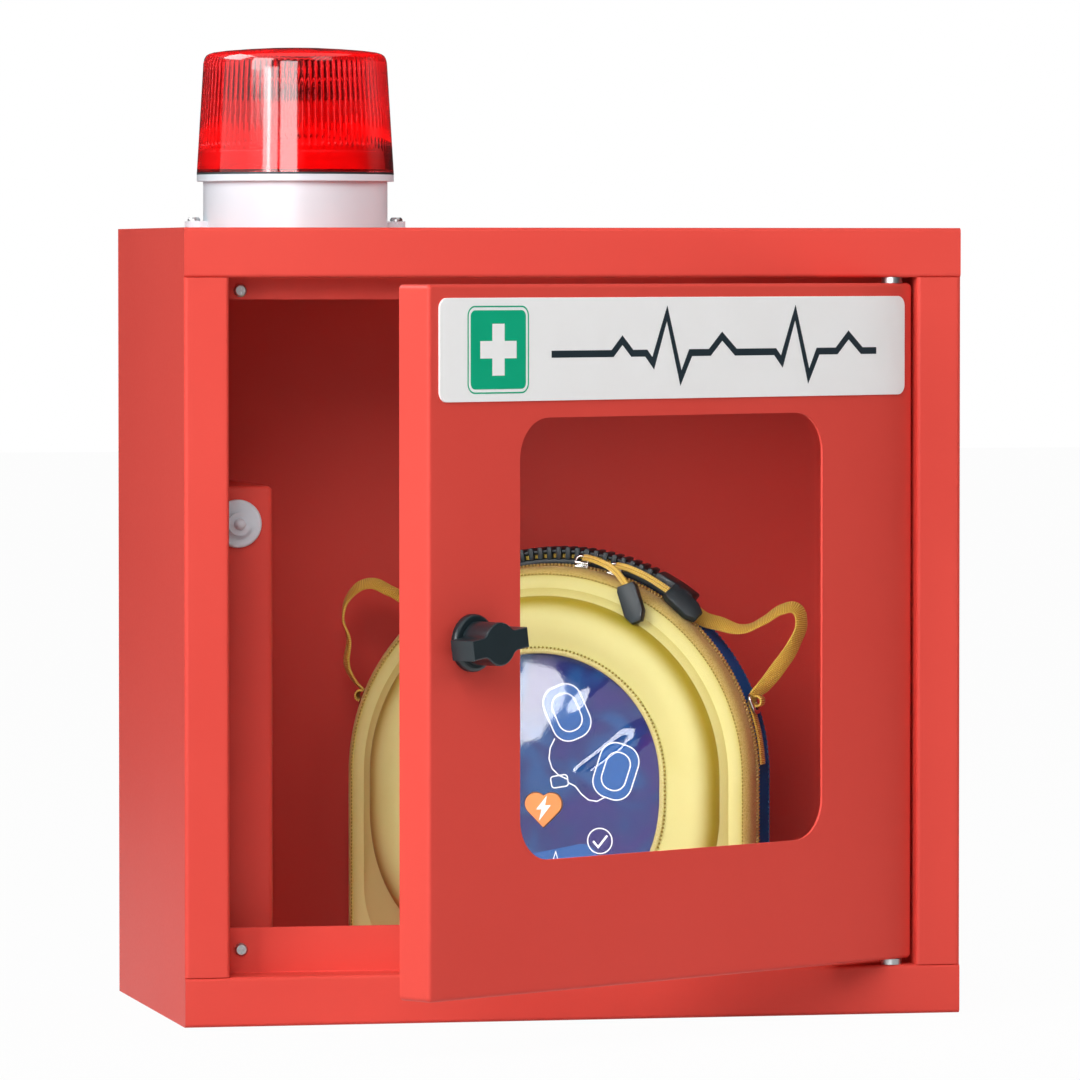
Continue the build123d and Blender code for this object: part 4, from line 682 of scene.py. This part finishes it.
# ---------------------------------------------------------------------------
# Handle: ribbed grip with slots, over a core of webbing
# ---------------------------------------------------------------------------
grip = bmesh.new()
arc_block(grip, 108.1, 110.9, -22.4, -7.6, -37.6, 37.6, 60, 0.5)
slot_pitch, slots = 2.5, 22
first_slot = -slot_pitch * (slots - 1) / 2
arc_block(grip, 114.2, 115.6, -21.4, -8.4, first_slot - 1, -first_slot + 1, 44, 0.3)
half_slot = 0.55
edges = [first_slot + i * slot_pitch for i in range(slots)]
arc_block(grip, 110.5, 117.2, -23.0, -7.0, -38.0, edges[0] - half_slot, 9, 0.9)
arc_block(grip, 110.5, 117.2, -23.0, -7.0, edges[-1] + half_slot, 38.0, 9, 0.9)
for before_slot, after_slot in zip(edges, edges[1:]):
    arc_block(grip, 110.5, 117.2, -23.0, -7.0, before_slot + half_slot, after_slot - half_slot, 2, 0.6)
piece(grip, "ribbed_grip", finishes["black_rubber"], "case", CASE, 40, "handle_grip")

core = bmesh.new()
arc_block(core, 111.4, 113.6, -19.5, -10.4, -37.0, 37.0, 60, 0.2)
layer = core.loops.layers.uv.new("length")
for face in core.faces:
    for loop in face.loops:
        loop[layer].uv = (112.5 * loop.vert.co.xy.angle_signed(Vector((0, 1))), 0)
piece(core, "grip_core_webbing", finishes["yellow_webbing"], "case", CASE, 40)

# ---------------------------------------------------------------------------
# Slack straps of ribbed webbing
# ---------------------------------------------------------------------------


def smooth_path(points, step):
    """Points an even step apart on a smooth curve through the given ones."""
    data = bpy.data.curves.new("path", "CURVE")
    data.dimensions = "3D"
    data.resolution_u = 60
    spline = data.splines.new("BEZIER")
    spline.bezier_points.add(len(points) - 1)
    for knot, point in zip(spline.bezier_points, points):
        knot.co = point
        knot.handle_left_type = knot.handle_right_type = "AUTO"
    shape = bpy.data.objects.new("path", data)
    fine = [v.co.copy() for v in bpy.data.meshes.new_from_object(shape).vertices]
    bpy.data.objects.remove(shape)
    line, left = [fine[0]], step
    for a, b in zip(fine, fine[1:]):
        while (b - a).length >= left:
            a = a + (b - a).normalized() * left
            line.append(a)
            left = step
        left -= (b - a).length
    return line


def ribbed_strap(name, points, twists, width, thickness, ribs=0.95):
    """Flat webbing along points in the case's frame, its broad side turned by twists (degrees)."""
    step = ribs / 4
    line = smooth_path([Vector(p) for p in points], step)
    mesh = bmesh.new()
    layer = mesh.loops.layers.uv.new("length")
    run = {}
    last = None
    for i, at in enumerate(line):
        along = (line[min(i + 1, len(line) - 1)] - line[max(i - 1, 0)]).normalized()
        share = i / (len(line) - 1) * (len(twists) - 1)
        k = min(int(share), len(twists) - 2)
        turn = radians(twists[k] + (twists[k + 1] - twists[k]) * (share - k))
        across = Matrix.Rotation(turn, 3, along) @ (Vector((0, 0, 1)) - along * along.z).normalized()
        out = along.cross(across)
        swell = 0.8 + 0.2 * cos(2 * pi * i / 4)
        ring = [
            mesh.verts.new(at + across * (u * width / 2) + out * (v * thickness / 2 * swell))
            for u, v in ((-1, -0.7), (-0.93, -1), (0, -1), (0.93, -1), (1, -0.7), (1, 0.7),
                         (0.93, 1), (0, 1), (-0.93, 1), (-1, 0.7))
        ]
        run.update((vert, i * step) for vert in ring)
        if last:
            for a in range(len(ring)):
                b = (a + 1) % len(ring)
                mesh.faces.new((last[a], last[b], ring[b], ring[a]))
        else:
            mesh.faces.new(ring[::-1])
        last = ring
    mesh.faces.new(last)
    for face in mesh.faces:
        for loop in face.loops:
            loop[layer].uv = (run[loop.vert], 0)
    bmesh.ops.recalc_face_normals(mesh, faces=mesh.faces)
    return mesh


def on_arch(radius, degrees, z):
    """Point at a radius and an angle clockwise from the top of the arch."""
    return (radius * sin(radians(degrees)), radius * cos(radians(degrees)), z)


straps = [
    ("right_strap", [
        on_arch(112.6, 37.0, -11), (75, 81.5, -10), (86, 78, -9), (98, 75.5, -9), (109, 80, -9),
        (119, 86, -9), (126, 86.5, -9), (129, 80, -9), (125, 68, -9), (117, 56, -9),
        (109, 46, -9), (103.6, 40.6, -9), (102.6, 37.2, -9)],
     (20, 66, 60, 34, 24, 34, 40, 30, 34, 52, 60, 44, 10)),
    ("left_strap", [
        on_arch(112.6, -37.0, -11), (-79, 88, -10), (-90, 93, -9), (-102, 97, -9), (-112, 91, -9),
        (-116, 80, -9), (-113, 67, -9), (-114, 54, -9), (-109, 45, -9), (-104.4, 40.4, -9),
        (-103.4, 37.2, -9)],
     (-20, -34, -30, -36, -40, -24, -14, -28, -34, -22, -8)),
]
for name, points, twists in straps:
    mesh = ribbed_strap(name, points, twists, 8.0, 1.5)
    piece(mesh, name, finishes["yellow_webbing"], "case", CASE, 40, "carry_straps")
for side, name in ((1, "right_tab"), (-1, "left_tab")):
    points = [on_arch(108.75, side * (90 - a), -9) for a in (20.4, 17, 13, 9, 5.5, 3.0)]
    mesh = ribbed_strap(name, points, (0, 0), 8.0, 1.5)
    piece(mesh, name, finishes["yellow_webbing"], "case", CASE, 40)
    hook = [
        (104.8, 41.2), (107.3, 40.6), (108.4, 38.4), (107.3, 36.2), (105.0, 36.2), (103.4, 37.6)]
    mesh = ribbed_strap(name + "_hook", [(side * x, y, -9) for x, y in hook], (0, 0), 8.0, 1.3)
    piece(mesh, name + "_hook", finishes["yellow_webbing"], "case", CASE, 40)

# ---------------------------------------------------------------------------
# Zip pulls: doubled braided cords on the sliders' wire loops
# ---------------------------------------------------------------------------


def route_line(points):
    """Centreline of a cord: points along the NURBS spline of its route, in the row frame."""
    data = bpy.data.curves.new("route", "CURVE")
    data.dimensions = "3D"
    data.resolution_u = 14
    spline = data.splines.new("NURBS")
    spline.points.add(len(points) - 1)
    for knot, point in zip(spline.points, points):
        knot.co = (*(CASE @ Vector(point)), 1.0)
    spline.order_u = 3
    spline.use_endpoint_u = True
    shape = bpy.data.objects.new("route", data)
    line = [v.co.copy() for v in bpy.data.meshes.new_from_object(shape).vertices]
    bpy.data.objects.remove(shape)
    return line


def pull_block(name, start, heading, facing, body, node):
    """Moulded end of a pull cord: a long block with chamfered lower corners and facets."""
    heading = Vector(heading).normalized()
    across = Vector(facing).cross(heading).normalized()
    turn = Matrix((heading, across, heading.cross(across))).transposed().to_4x4()
    mesh = bmesh.new()
    outline = [(0, -4.4), (2.5, -5.5), (16.0, -5.5), (21.0, -2.9)]
    outline += [(x, -y) for x, y in reversed(outline)]
    film(mesh, outline, -3.0, 3.0)
    long_edges = [e for e in mesh.edges if abs(e.verts[0].co.z - e.verts[1].co.z) < 0.1]
    bmesh.ops.bevel(
        mesh, geom=long_edges, offset=1.5, affect="EDGES", segments=2, profile=0.5, material=-1
    )
    bmesh.ops.transform(mesh, matrix=Matrix.Translation(Vector(start)) @ turn, verts=mesh.verts)
    return piece(mesh, name, finishes["black_rubber"], body, CASE, 30, node)


def zip_slider(name, degrees, body, node):
    """Die-cast slider on the chain: two plates, a nose, and the wire loop for its pull."""
    mesh = bmesh.new()
    for size, lift in (((7.4, 1.3, 8.2), 110.3), ((6.4, 1.6, 3.0), 109.0), ((7.0, 0.9, 8.2), 108.35)):
        made = bmesh.ops.create_cube(
            mesh, size=1.0, matrix=Matrix.Translation((0, lift, 0)) @ Matrix.Diagonal((*size, 1))
        )
        edges = list({e for v in made["verts"] for e in v.link_edges})
        bmesh.ops.bevel(
            mesh, geom=edges, offset=0.38, affect="EDGES", segments=2, profile=0.5, material=-1
        )
    wire = bpy.data.curves.new("loop", "CURVE")
    wire.dimensions = "3D"
    wire.bevel_depth, wire.bevel_resolution, wire.resolution_u = 0.62, 3, 8
    wire.use_fill_caps = True
    spline = wire.splines.new("BEZIER")
    arch = [(-3.0, 110.2), (-2.9, 112.2), (0.0, 114.0), (2.9, 112.2), (3.0, 110.2)]
    spline.bezier_points.add(len(arch) - 1)
    for knot, (x, y) in zip(spline.bezier_points, arch):
        knot.co = (x, y, 3.2)
        knot.handle_left_type = knot.handle_right_type = "AUTO"
    shape = bpy.data.objects.new("loop", wire)
    mesh.from_mesh(bpy.data.meshes.new_from_object(shape))
    bpy.data.objects.remove(shape)
    place = CASE @ Matrix.Rotation(radians(-degrees), 4, "Z")
    return piece(mesh, name, finishes["nickel_wire"], body, place, 40, node)


def doubled_cord(name, points, broad, body, node):
    """Two braided strands side by side along a route; broad is the case-frame way they lie apart."""
    line = route_line(points)
    aside = (CASE.to_3x3() @ Vector(broad)).normalized()
    mesh = bmesh.new()
    layer = mesh.loops.layers.uv.new("braid")
    around, strand, apart = 12, 0.98 * MM, 0.86 * MM
    uv = {}
    for sign in (-1, 1):
        last, run = None, 0.0
        for i, at in enumerate(line):
            along = (line[min(i + 1, len(line) - 1)] - line[max(i - 1, 0)]).normalized()
            run += (at - line[i - 1]).length if i else 0.0
            across = (aside - along * aside.dot(along)).normalized()
            out = along.cross(across)
            middle = at + across * (sign * apart)
            ring = []
            for k in range(around):
                turn = 2 * pi * k / around
                vert = mesh.verts.new(middle + (across * cos(turn) + out * sin(turn)) * strand)
                uv[vert] = (run / MM, k / around)
                ring.append(vert)
            if last:
                for a in range(around):
                    b = (a + 1) % around
                    mesh.faces.new((last[a], ring[a], ring[b], last[b]))
            else:
                mesh.faces.new(ring)
            last = ring
        mesh.faces.new(last[::-1])
    for face in mesh.faces:
        wraps = max(uv[v][1] for v in face.verts) > 0.9 and min(uv[v][1] for v in face.verts) < 0.1
        for loop in face.loops:
            u, v = uv[loop.vert]
            loop[layer].uv = (u, v + 1 if wraps and v < 0.5 else v)
    bmesh.ops.recalc_face_normals(mesh, faces=mesh.faces)
    made = piece(mesh, name, finishes["yellow_cord"], body, None, 60, node)
    return made


zip_slider("left_slider", 7.9, "left_zip_slider", "zip_slider_left")
zip_slider("right_slider", 17.2, "right_zip_slider", "zip_slider_right")
left_block = pull_block(
    "left_pull_block", (43.6, 99.2, 21.5), (0.33, -0.93, 0.16), (-0.1, 0.15, 1), "left_zip_slider",
    "pull_end_left",
)
right_block = pull_block(
    "right_pull_block", (62.4, 95.9, 6.8), (0.74, -0.67, -0.04), (0.42, 0.52, 0.74),
    "right_zip_slider", "pull_end_right",
)
doubled_cord(
    "left_pull_cord",
    [(16.8, 112.2, 3.8), (21.5, 112.0, 9.5), (28.5, 110.4, 15.5), (35.5, 107.6, 19.6),
     (40.3, 103.7, 21.2), (43.9, 98.3, 21.6)],
    (0.6, 0.8, 0), "left_zip_slider", "pull_cord_left",
)
doubled_cord(
    "right_pull_cord",
    [(34.0, 108.2, 3.8), (38.5, 108.0, 7.2), (46, 105.4, 9.0), (55, 101, 8.4), (63.2, 95.1, 6.7)],
    (0.55, 0.66, -0.3), "right_zip_slider", "pull_cord_right",
)

# ---------------------------------------------------------------------------
# Beacon lens: smooth outside, upright flutes inside
# ---------------------------------------------------------------------------
FLUTES = 90
LENS_FOOT, LENS_TOP = 28.4, 92.4


def profile_spin(mesh, points, steps):
    """Turns a profile of (radius, height) once round the beacon's axis."""
    tip = bmesh.ops.create_vert(mesh, co=(points[0][0], 0, points[0][1]))["vert"][0]
    whole = [tip]
    for a, b in zip(points, points[1:]):
        tip = straight(mesh, tip, (b[0] - a[0], 0, b[1] - a[1]), 1)
        whole.append(tip)
    edges = [e for e in mesh.edges if e.verts[0] in whole and e.verts[1] in whole]
    bmesh.ops.spin(
        mesh, geom=whole + edges, cent=(0, 0, 0), axis=(0, 0, 1), angle=2 * pi, steps=steps,
        use_merge=True,
    )


def lens_radius(height):
    return 50.5 - 3.7 * (height - LENS_FOOT) / 60.4


lens = bmesh.new()
outside = [(47.9, LENS_FOOT), (50.5, LENS_FOOT)]
outside += [(lens_radius(h), h) for h in (30.0, 36.0, 44.0, 56.0, 68.0, 80.0, 84.5)]
outside += [(46.5, 86.8), (45.6, 88.3), (44.2, 89.2), (42.0, 89.9), (36.0, 90.7), (26.0, 91.5),
            (14.0, 92.15), (5.0, 92.38), (0.0, 92.4)]
profile_spin(lens, outside, 180)
inside = [(47.9, LENS_FOOT), (47.6, 31.0), (47.9, 31.6), (47.4, 34.2), (47.7, 34.8), (47.2, 37.4),
          (47.5, 38.0), (47.2, 40.2), (46.7, 40.8)]
inside += [(lens_radius(h) - 2.4, h) for h in (44.0, 56.0, 68.0, 80.0, 84.0)]
inside += [(43.4, 86.0), (41.5, 87.3), (26.0, 89.0), (14.0, 89.6), (0.0, 89.9)]
inner = bmesh.new()
profile_spin(inner, inside, 6 * FLUTES)
for vert in inner.verts:
    if 40.5 < vert.co.z < 86.5:
        turn = vert.co.xy.angle_signed(Vector((1, 0)))
        ridge = abs(cos(FLUTES / 2 * turn)) * (0.85 if vert.co.z < 85 else 0.4)
        vert.co.xy *= 1 - ridge / vert.co.xy.length
inner_data = bpy.data.meshes.new("lens_inside")
inner.to_mesh(inner_data)
inner.free()
lens.from_mesh(inner_data)
bpy.data.meshes.remove(inner_data)
rims = [e for e in lens.edges if e.is_boundary]
bmesh.ops.bridge_loops(lens, edges=rims)
bmesh.ops.remove_doubles(lens, verts=lens.verts, dist=0.0005)
bmesh.ops.recalc_face_normals(lens, faces=lens.faces)
piece(lens, "fluted_lens", finishes["red_lens"], "cabinet", BEACON, 75, "beacon_lens")

# ---------------------------------------------------------------------------
# Printed and cut shapes
# ---------------------------------------------------------------------------


def stroke(mesh, points, width, low, high, closed=False):
    """Printed line of an even width along points."""
    count = len(points)
    points = [Vector(p) for p in points]
    pairs = []
    for i, at in enumerate(points):
        before = points[i - 1] if closed or i else at
        after = points[(i + 1) % count] if closed or i + 1 < count else at
        a = (at - before).normalized() if (at - before).length > 1e-6 else (after - at).normalized()
        b = (after - at).normalized() if (after - at).length > 1e-6 else a
        side = Vector((-(a + b).y, (a + b).x)).normalized()
        reach = width / 2 / max(0.45, side.dot(Vector((-a.y, a.x))))
        pairs.append((
            mesh.verts.new((*(at + side * reach), low)), mesh.verts.new((*(at - side * reach), low))
        ))
    rows = list(zip(pairs, pairs[1:] + pairs[:1] if closed else pairs[1:]))
    faces = [mesh.faces.new((a[0], a[1], b[1], b[0])) for a, b in rows]
    swept = bmesh.ops.extrude_face_region(mesh, geom=faces, use_keep_orig=True)
    top = [v for v in swept["geom"] if isinstance(v, bmesh.types.BMVert)]
    bmesh.ops.translate(mesh, vec=(0, 0, high - low), verts=top)
    bmesh.ops.recalc_face_normals(mesh, faces=mesh.faces)


def rounded(x, y, width, height, corner, tilt=0.0, steps=8):
    """Points of a rectangle with round corners, tilted about its middle."""
    turn = radians(tilt)
    points = []
    for k, (sx, sy) in enumerate(((1, -1), (1, 1), (-1, 1), (-1, -1))):
        for i in range(steps + 1):
            at = radians(90 * k - 90 + 90 * i / steps)
            px = sx * (width / 2 - corner) + corner * cos(at)
            py = sy * (height / 2 - corner) + corner * sin(at)
            points.append((x + px * cos(turn) - py * sin(turn), y + px * sin(turn) + py * cos(turn)))
    return points


# Door sign: a first-aid cross on green, and a pulse line
SIGN_FACE = 6.98
mesh = bmesh.new()
film(mesh, rounded(-294.0, 340.5, 38.0, 38.0, 3.0), SIGN_FACE, SIGN_FACE + 0.12)
piece(mesh, "sign_green_field", finishes["sign_green"], "door", DOOR)
mesh = bmesh.new()
stroke(mesh, rounded(-294.0, 340.5, 41.6, 41.6, 4.6), 0.7, SIGN_FACE, SIGN_FACE + 0.12, True)
piece(mesh, "sign_green_line", finishes["sign_green"], "door", DOOR)
mesh = bmesh.new()
arm, half = 4.2, 12.5
cross = [(arm, -half), (arm, -arm), (half, -arm), (half, arm), (arm, arm), (arm, half)]
cross += [(-x, -y) for x, y in cross]
film(mesh, [(-294.0 + x, 340.5 + y) for x, y in cross], SIGN_FACE + 0.1, SIGN_FACE + 0.2)
piece(mesh, "sign_white_cross", finishes["sign_white"], "door", DOOR)
mesh = bmesh.new()
pulse = [
    (-257, 338), (-214, 338), (-207, 344.5), (-200, 338), (-190, 338), (-185, 333), (-175, 357.5),
    (-165, 325.5), (-158, 338), (-144, 338), (-135, 346), (-125, 338), (-96, 338), (-91, 333),
    (-81, 357.5), (-71, 325.5), (-64, 338), (-50, 338), (-41, 346), (-31, 338), (-20, 338),
]
stroke(mesh, pulse, 3.4, SIGN_FACE, SIGN_FACE + 0.12)
piece(mesh, "sign_pulse_line", finishes["sign_ink"], "door", DOOR)

# Defibrillator's overlay: two electrode pads on their leads, a status ring and a pulse
OVERLAY = 24.48
shapes = bmesh.new()
film(shapes, rounded(13.0, 33.0, 21.0, 29.0, 8.5, 24), OVERLAY, OVERLAY + 0.08)
film(shapes, rounded(39.0, 3.0, 21.0, 29.0, 8.5, -18), OVERLAY, OVERLAY + 0.08)
film(shapes, rounded(-26.0, 26.0, 30.0, 20.0, 9.9, 35), OVERLAY, OVERLAY + 0.08)
film(shapes, rounded(8.0, -46.0, 44.0, 17.0, 8.4, 12), OVERLAY, OVERLAY + 0.08)
piece(shapes, "overlay_light_shapes", finishes["overlay_light"], "case", CASE)
lines = bmesh.new()
ink = (0.6, OVERLAY + 0.06, OVERLAY + 0.16)
for x, y, tilt in ((13.0, 33.0, 24), (39.0, 3.0, -18)):
    stroke(lines, rounded(x, y, 21.0, 29.0, 8.5, tilt), *ink, True)
    stroke(lines, rounded(x, y, 13.0, 20.0, 6.0, tilt), 0.6, *ink[1:], True)
lead = [(6.5, 19.5), (4.0, 14.5), (3.4, 9.0), (5.0, 4.0), (8.6, 0.5), (13.5, -1.6)]
stroke(lines, lead, *ink)
lead = [(33.0, -10.5), (29.0, -12.6), (24.5, -12.0), (20.6, -9.0), (17.5, -5.0), (13.5, -3.2)]
stroke(lines, lead, *ink)
stroke(lines, rounded(9.0, -2.6, 9.0, 6.0, 1.6, 10), *ink, True)
stroke(lines, rounded(30.5, -33.0, 13.0, 13.0, 6.45), *ink, True)
stroke(lines, [(26.9, -33.2), (29.6, -36.2), (34.4, -30.2)], 1.1, *ink[1:])
beat = [(-14, -47), (-6, -47), (-3, -44.5), (0, -47), (3, -51), (7, -39), (11, -53), (14, -47), (24, -47)]
stroke(lines, beat, *ink)
piece(lines, "overlay_white_lines", finishes["overlay_white"], "case", CASE)
mesh = bmesh.new()
bolt = [(2.4, 7.4), (-4.4, -1.2), (-0.9, -1.0), (-2.6, -8.0), (4.8, 1.6), (1.2, 1.4)]
film(mesh, [(0.5 + x * 0.86, -16.3 + y * 0.86) for x, y in bolt], 25.48, 25.62)
piece(mesh, "shock_button_bolt", finishes["overlay_white"], "shock", CASE)

# Clear sheet in the case's window, slightly wavy from being sewn in
sheet = bmesh.new()
rows = [(66.0 - 4 * i, 77.3 - 4 * i, 63.3 - 4 * i) for i in range(15)]
loops = loft(sheet, [(*row, 29.5) for row in reversed(rows)] + [(*row, 29.9) for row in rows])
for end in (loops[0], loops[-1]):
    bmesh.ops.holes_fill(sheet, edges=end, sides=0)
creases = [((57, 24), (26, 2), 5.5, 0.85), ((34, 50), (22, 34), 5.0, 0.3), ((50, -26), (38, -50), 6.0, 0.3)]
for vert in sheet.verts:
    x, y = vert.co.xy
    inward = min(1.0, max(0.0, 66.0 - Vector((x, max(y, 0))).length) / 14)
    lift = 0.3 * noise.noise(Vector((x / 36, y / 46, 3.7)))
    for start_point, end_point, width, height in creases:
        run = Vector(end_point) - Vector(start_point)
        along = max(0.0, min(1.0, (Vector((x, y)) - Vector(start_point)).dot(run) / run.length_squared))
        away = (Vector((x, y)) - Vector(start_point) - run * along).length
        lift += height * 2.0 ** (-((away / width) ** 2) * 2.9)
    vert.co.z += lift * inward
bmesh.ops.triangulate(sheet, faces=[f for f in sheet.faces if len(f.verts) > 4])
bmesh.ops.recalc_face_normals(sheet, faces=sheet.faces)
clear_sheet = piece(sheet, "window_sheet", finishes["clear_vinyl"], "case", CASE, 80, "case_window")
subdivide(clear_sheet, 1)
for thin in (clear_sheet, frame["nodes"]["window_pane"]):
    thin.visible_shadow = False

# ---------------------------------------------------------------------------
# Room, light and camera
# ---------------------------------------------------------------------------
floor_mesh = bmesh.new()
bmesh.ops.create_grid(floor_mesh, x_segments=2, y_segments=2, size=12.0)
bmesh.ops.translate(floor_mesh, vec=(0, 0, -0.0005), verts=floor_mesh.verts)
floor_data = bpy.data.meshes.new("floor")
floor_mesh.to_mesh(floor_data)
floor_mesh.free()
floor = bpy.data.objects.new("floor", floor_data)
bpy.context.scene.collection.objects.link(floor)


def background_rays(owner):
    """1 on the rays that show the background, straight, mirrored or through glass; 0 on
    the rays that light a matt surface."""
    path = add(owner, "ShaderNodeLightPath")
    mirrored = add(
        owner, "ShaderNodeMath", operation="MAXIMUM",
        links={0: (path, "Is Camera Ray"), 1: (path, "Is Glossy Ray")},
    )
    seen = add(
        owner, "ShaderNodeMath", operation="MAXIMUM",
        links={0: (mirrored, None), 1: (path, "Is Transmission Ray")},
    )
    return add(
        owner, "ShaderNodeMath", operation="SUBTRACT", use_clamp=True,
        links={0: (seen, None), 1: (path, "Diffuse Depth")},
    )


# White matt paper: it runs on into the white room, and keeps the object's shadow.
paper = start("white_matt_paper")
lit = add(paper, "ShaderNodeBsdfPrincipled", {"Base Color": tone("#C8C8C8"), "Roughness": 0.9})
white = add(paper, "ShaderNodeEmission", {"Color": (1, 1, 1, 1), "Strength": 1.0})
share = add(paper, "ShaderNodeMath", {1: 0.97}, {0: (background_rays(paper), None)}, operation="MULTIPLY")
close(paper, add(
    paper, "ShaderNodeMixShader", links={0: (share, None), 1: (lit, None), 2: (white, None)},
))
floor_data.materials.append(paper)

world = bpy.data.worlds.new("studio")
bpy.context.scene.world = world
world.use_nodes = True
world.node_tree.nodes.clear()
level = add(
    world, "ShaderNodeMapRange", {"To Min": 0.22, "To Max": 1.0},
    {"Value": (background_rays(world), None)},
)
room = add(
    world, "ShaderNodeBackground", {"Color": (1, 1, 1, 1)}, {"Strength": (level, "Result")},
)
add(world, "ShaderNodeOutputWorld", links={"Surface": (room, None)})

# Dark felt boards outside the view, seen only as the dark side of the room that smooth
# surfaces mirror: one to the right of the door's glass, one behind the left side.
felt = start("dark_grey_felt")
close(felt, add(felt, "ShaderNodeBsdfPrincipled", {"Base Color": tone("#1E1E20"), "Roughness": 1.0}))
for name, turn, where, half in (
    ("board_right", 90, (1.0, -0.8, -0.85), 1.4), ("board_back", 0, (-0.3, 1.3, 1.2), 3.5),
    ("board_front", -35, (-2.7, -3.9, -0.7), 1.4), ("board_room", 0, (-0.5, -5.4, 1.0), 4.0),
    ("board_side", 90, (3.2, -2.0, 1.0), 3.5),
):
    board_mesh = bmesh.new()
    bmesh.ops.create_grid(board_mesh, x_segments=2, y_segments=2, size=half)
    upright = Matrix.Rotation(radians(turn), 4, "Z") @ Matrix.Rotation(radians(90), 4, "X")
    bmesh.ops.transform(board_mesh, matrix=Matrix.Translation(where) @ upright, verts=board_mesh.verts)
    board_data = bpy.data.meshes.new(name)
    board_mesh.to_mesh(board_data)
    board_mesh.free()
    board_data.materials.append(felt)
    board = bpy.data.objects.new(name, board_data)
    bpy.context.scene.collection.objects.link(board)
    board.visible_camera = board.visible_diffuse = board.visible_shadow = False
    board.visible_transmission = name in ("board_right", "board_front")


def lamp(name, where, aim, size, power):
    """Soft square lamp."""
    data = bpy.data.lights.new(name, "AREA")
    data.shape = "RECTANGLE"
    data.size, data.size_y = size
    data.energy = power
    made = bpy.data.objects.new(name, data)
    made.location = where
    made.rotation_euler = (Vector(aim) - Vector(where)).to_track_quat("-Z", "Y").to_euler()
    bpy.context.scene.collection.objects.link(made)
    return made


lamp("key", (-2.67, -1.87, 1.72), (0, 0, 0.2), (1.5, 1.7), 70)
front = lamp("front", (-0.65, -1.6, 1.2), (0, 0, 0.25), (0.8, 0.9), 15)
front.visible_glossy = False
glare = lamp("glare", (-1.18, -3.23, 0.95), (0, 0, 0.2), (1.2, 1.4), 44)
glare.visible_diffuse = False
lamp("fill", (1.17, -2.5, 2.3), (0, 0, 0.2), (1.4, 1.4), 11)
rim = lamp("rim", (1.64, 0.31, 0.95), (-0.13, 0, 0.42), (0.8, 0.8), 14)
rim.visible_glossy = False
lamp("strip", (-1.72, -1.78, 0.42), (0, 0, 0.2), (0.14, 0.9), 4)
window = lamp("window", (-2.1, 0.75, 2.2), (-0.13, 0, 0.45), (2.5, 1.5), 110)
panes = lamp("panes", (-2.06, -2.3, 0.9), (-0.13, 0, 0.45), (0.95, 0.4), 8)
window.visible_diffuse = panes.visible_diffuse = False

eye = bpy.data.cameras.new("eye")
eye.lens = 266.17
eye.sensor_width = 36.0
eye.clip_start, eye.clip_end = 0.5, 60.0
camera = bpy.data.objects.new("eye", eye)
camera.location = (-0.85653, -4.03472, 0.38195)
camera.rotation_euler = Vector((0.20837, 0.97744, -0.03460)).to_track_quat("-Z", "Y").to_euler()
bpy.context.scene.collection.objects.link(camera)
bpy.context.scene.camera = camera
bpy.context.scene.view_settings.view_transform = "Standard"
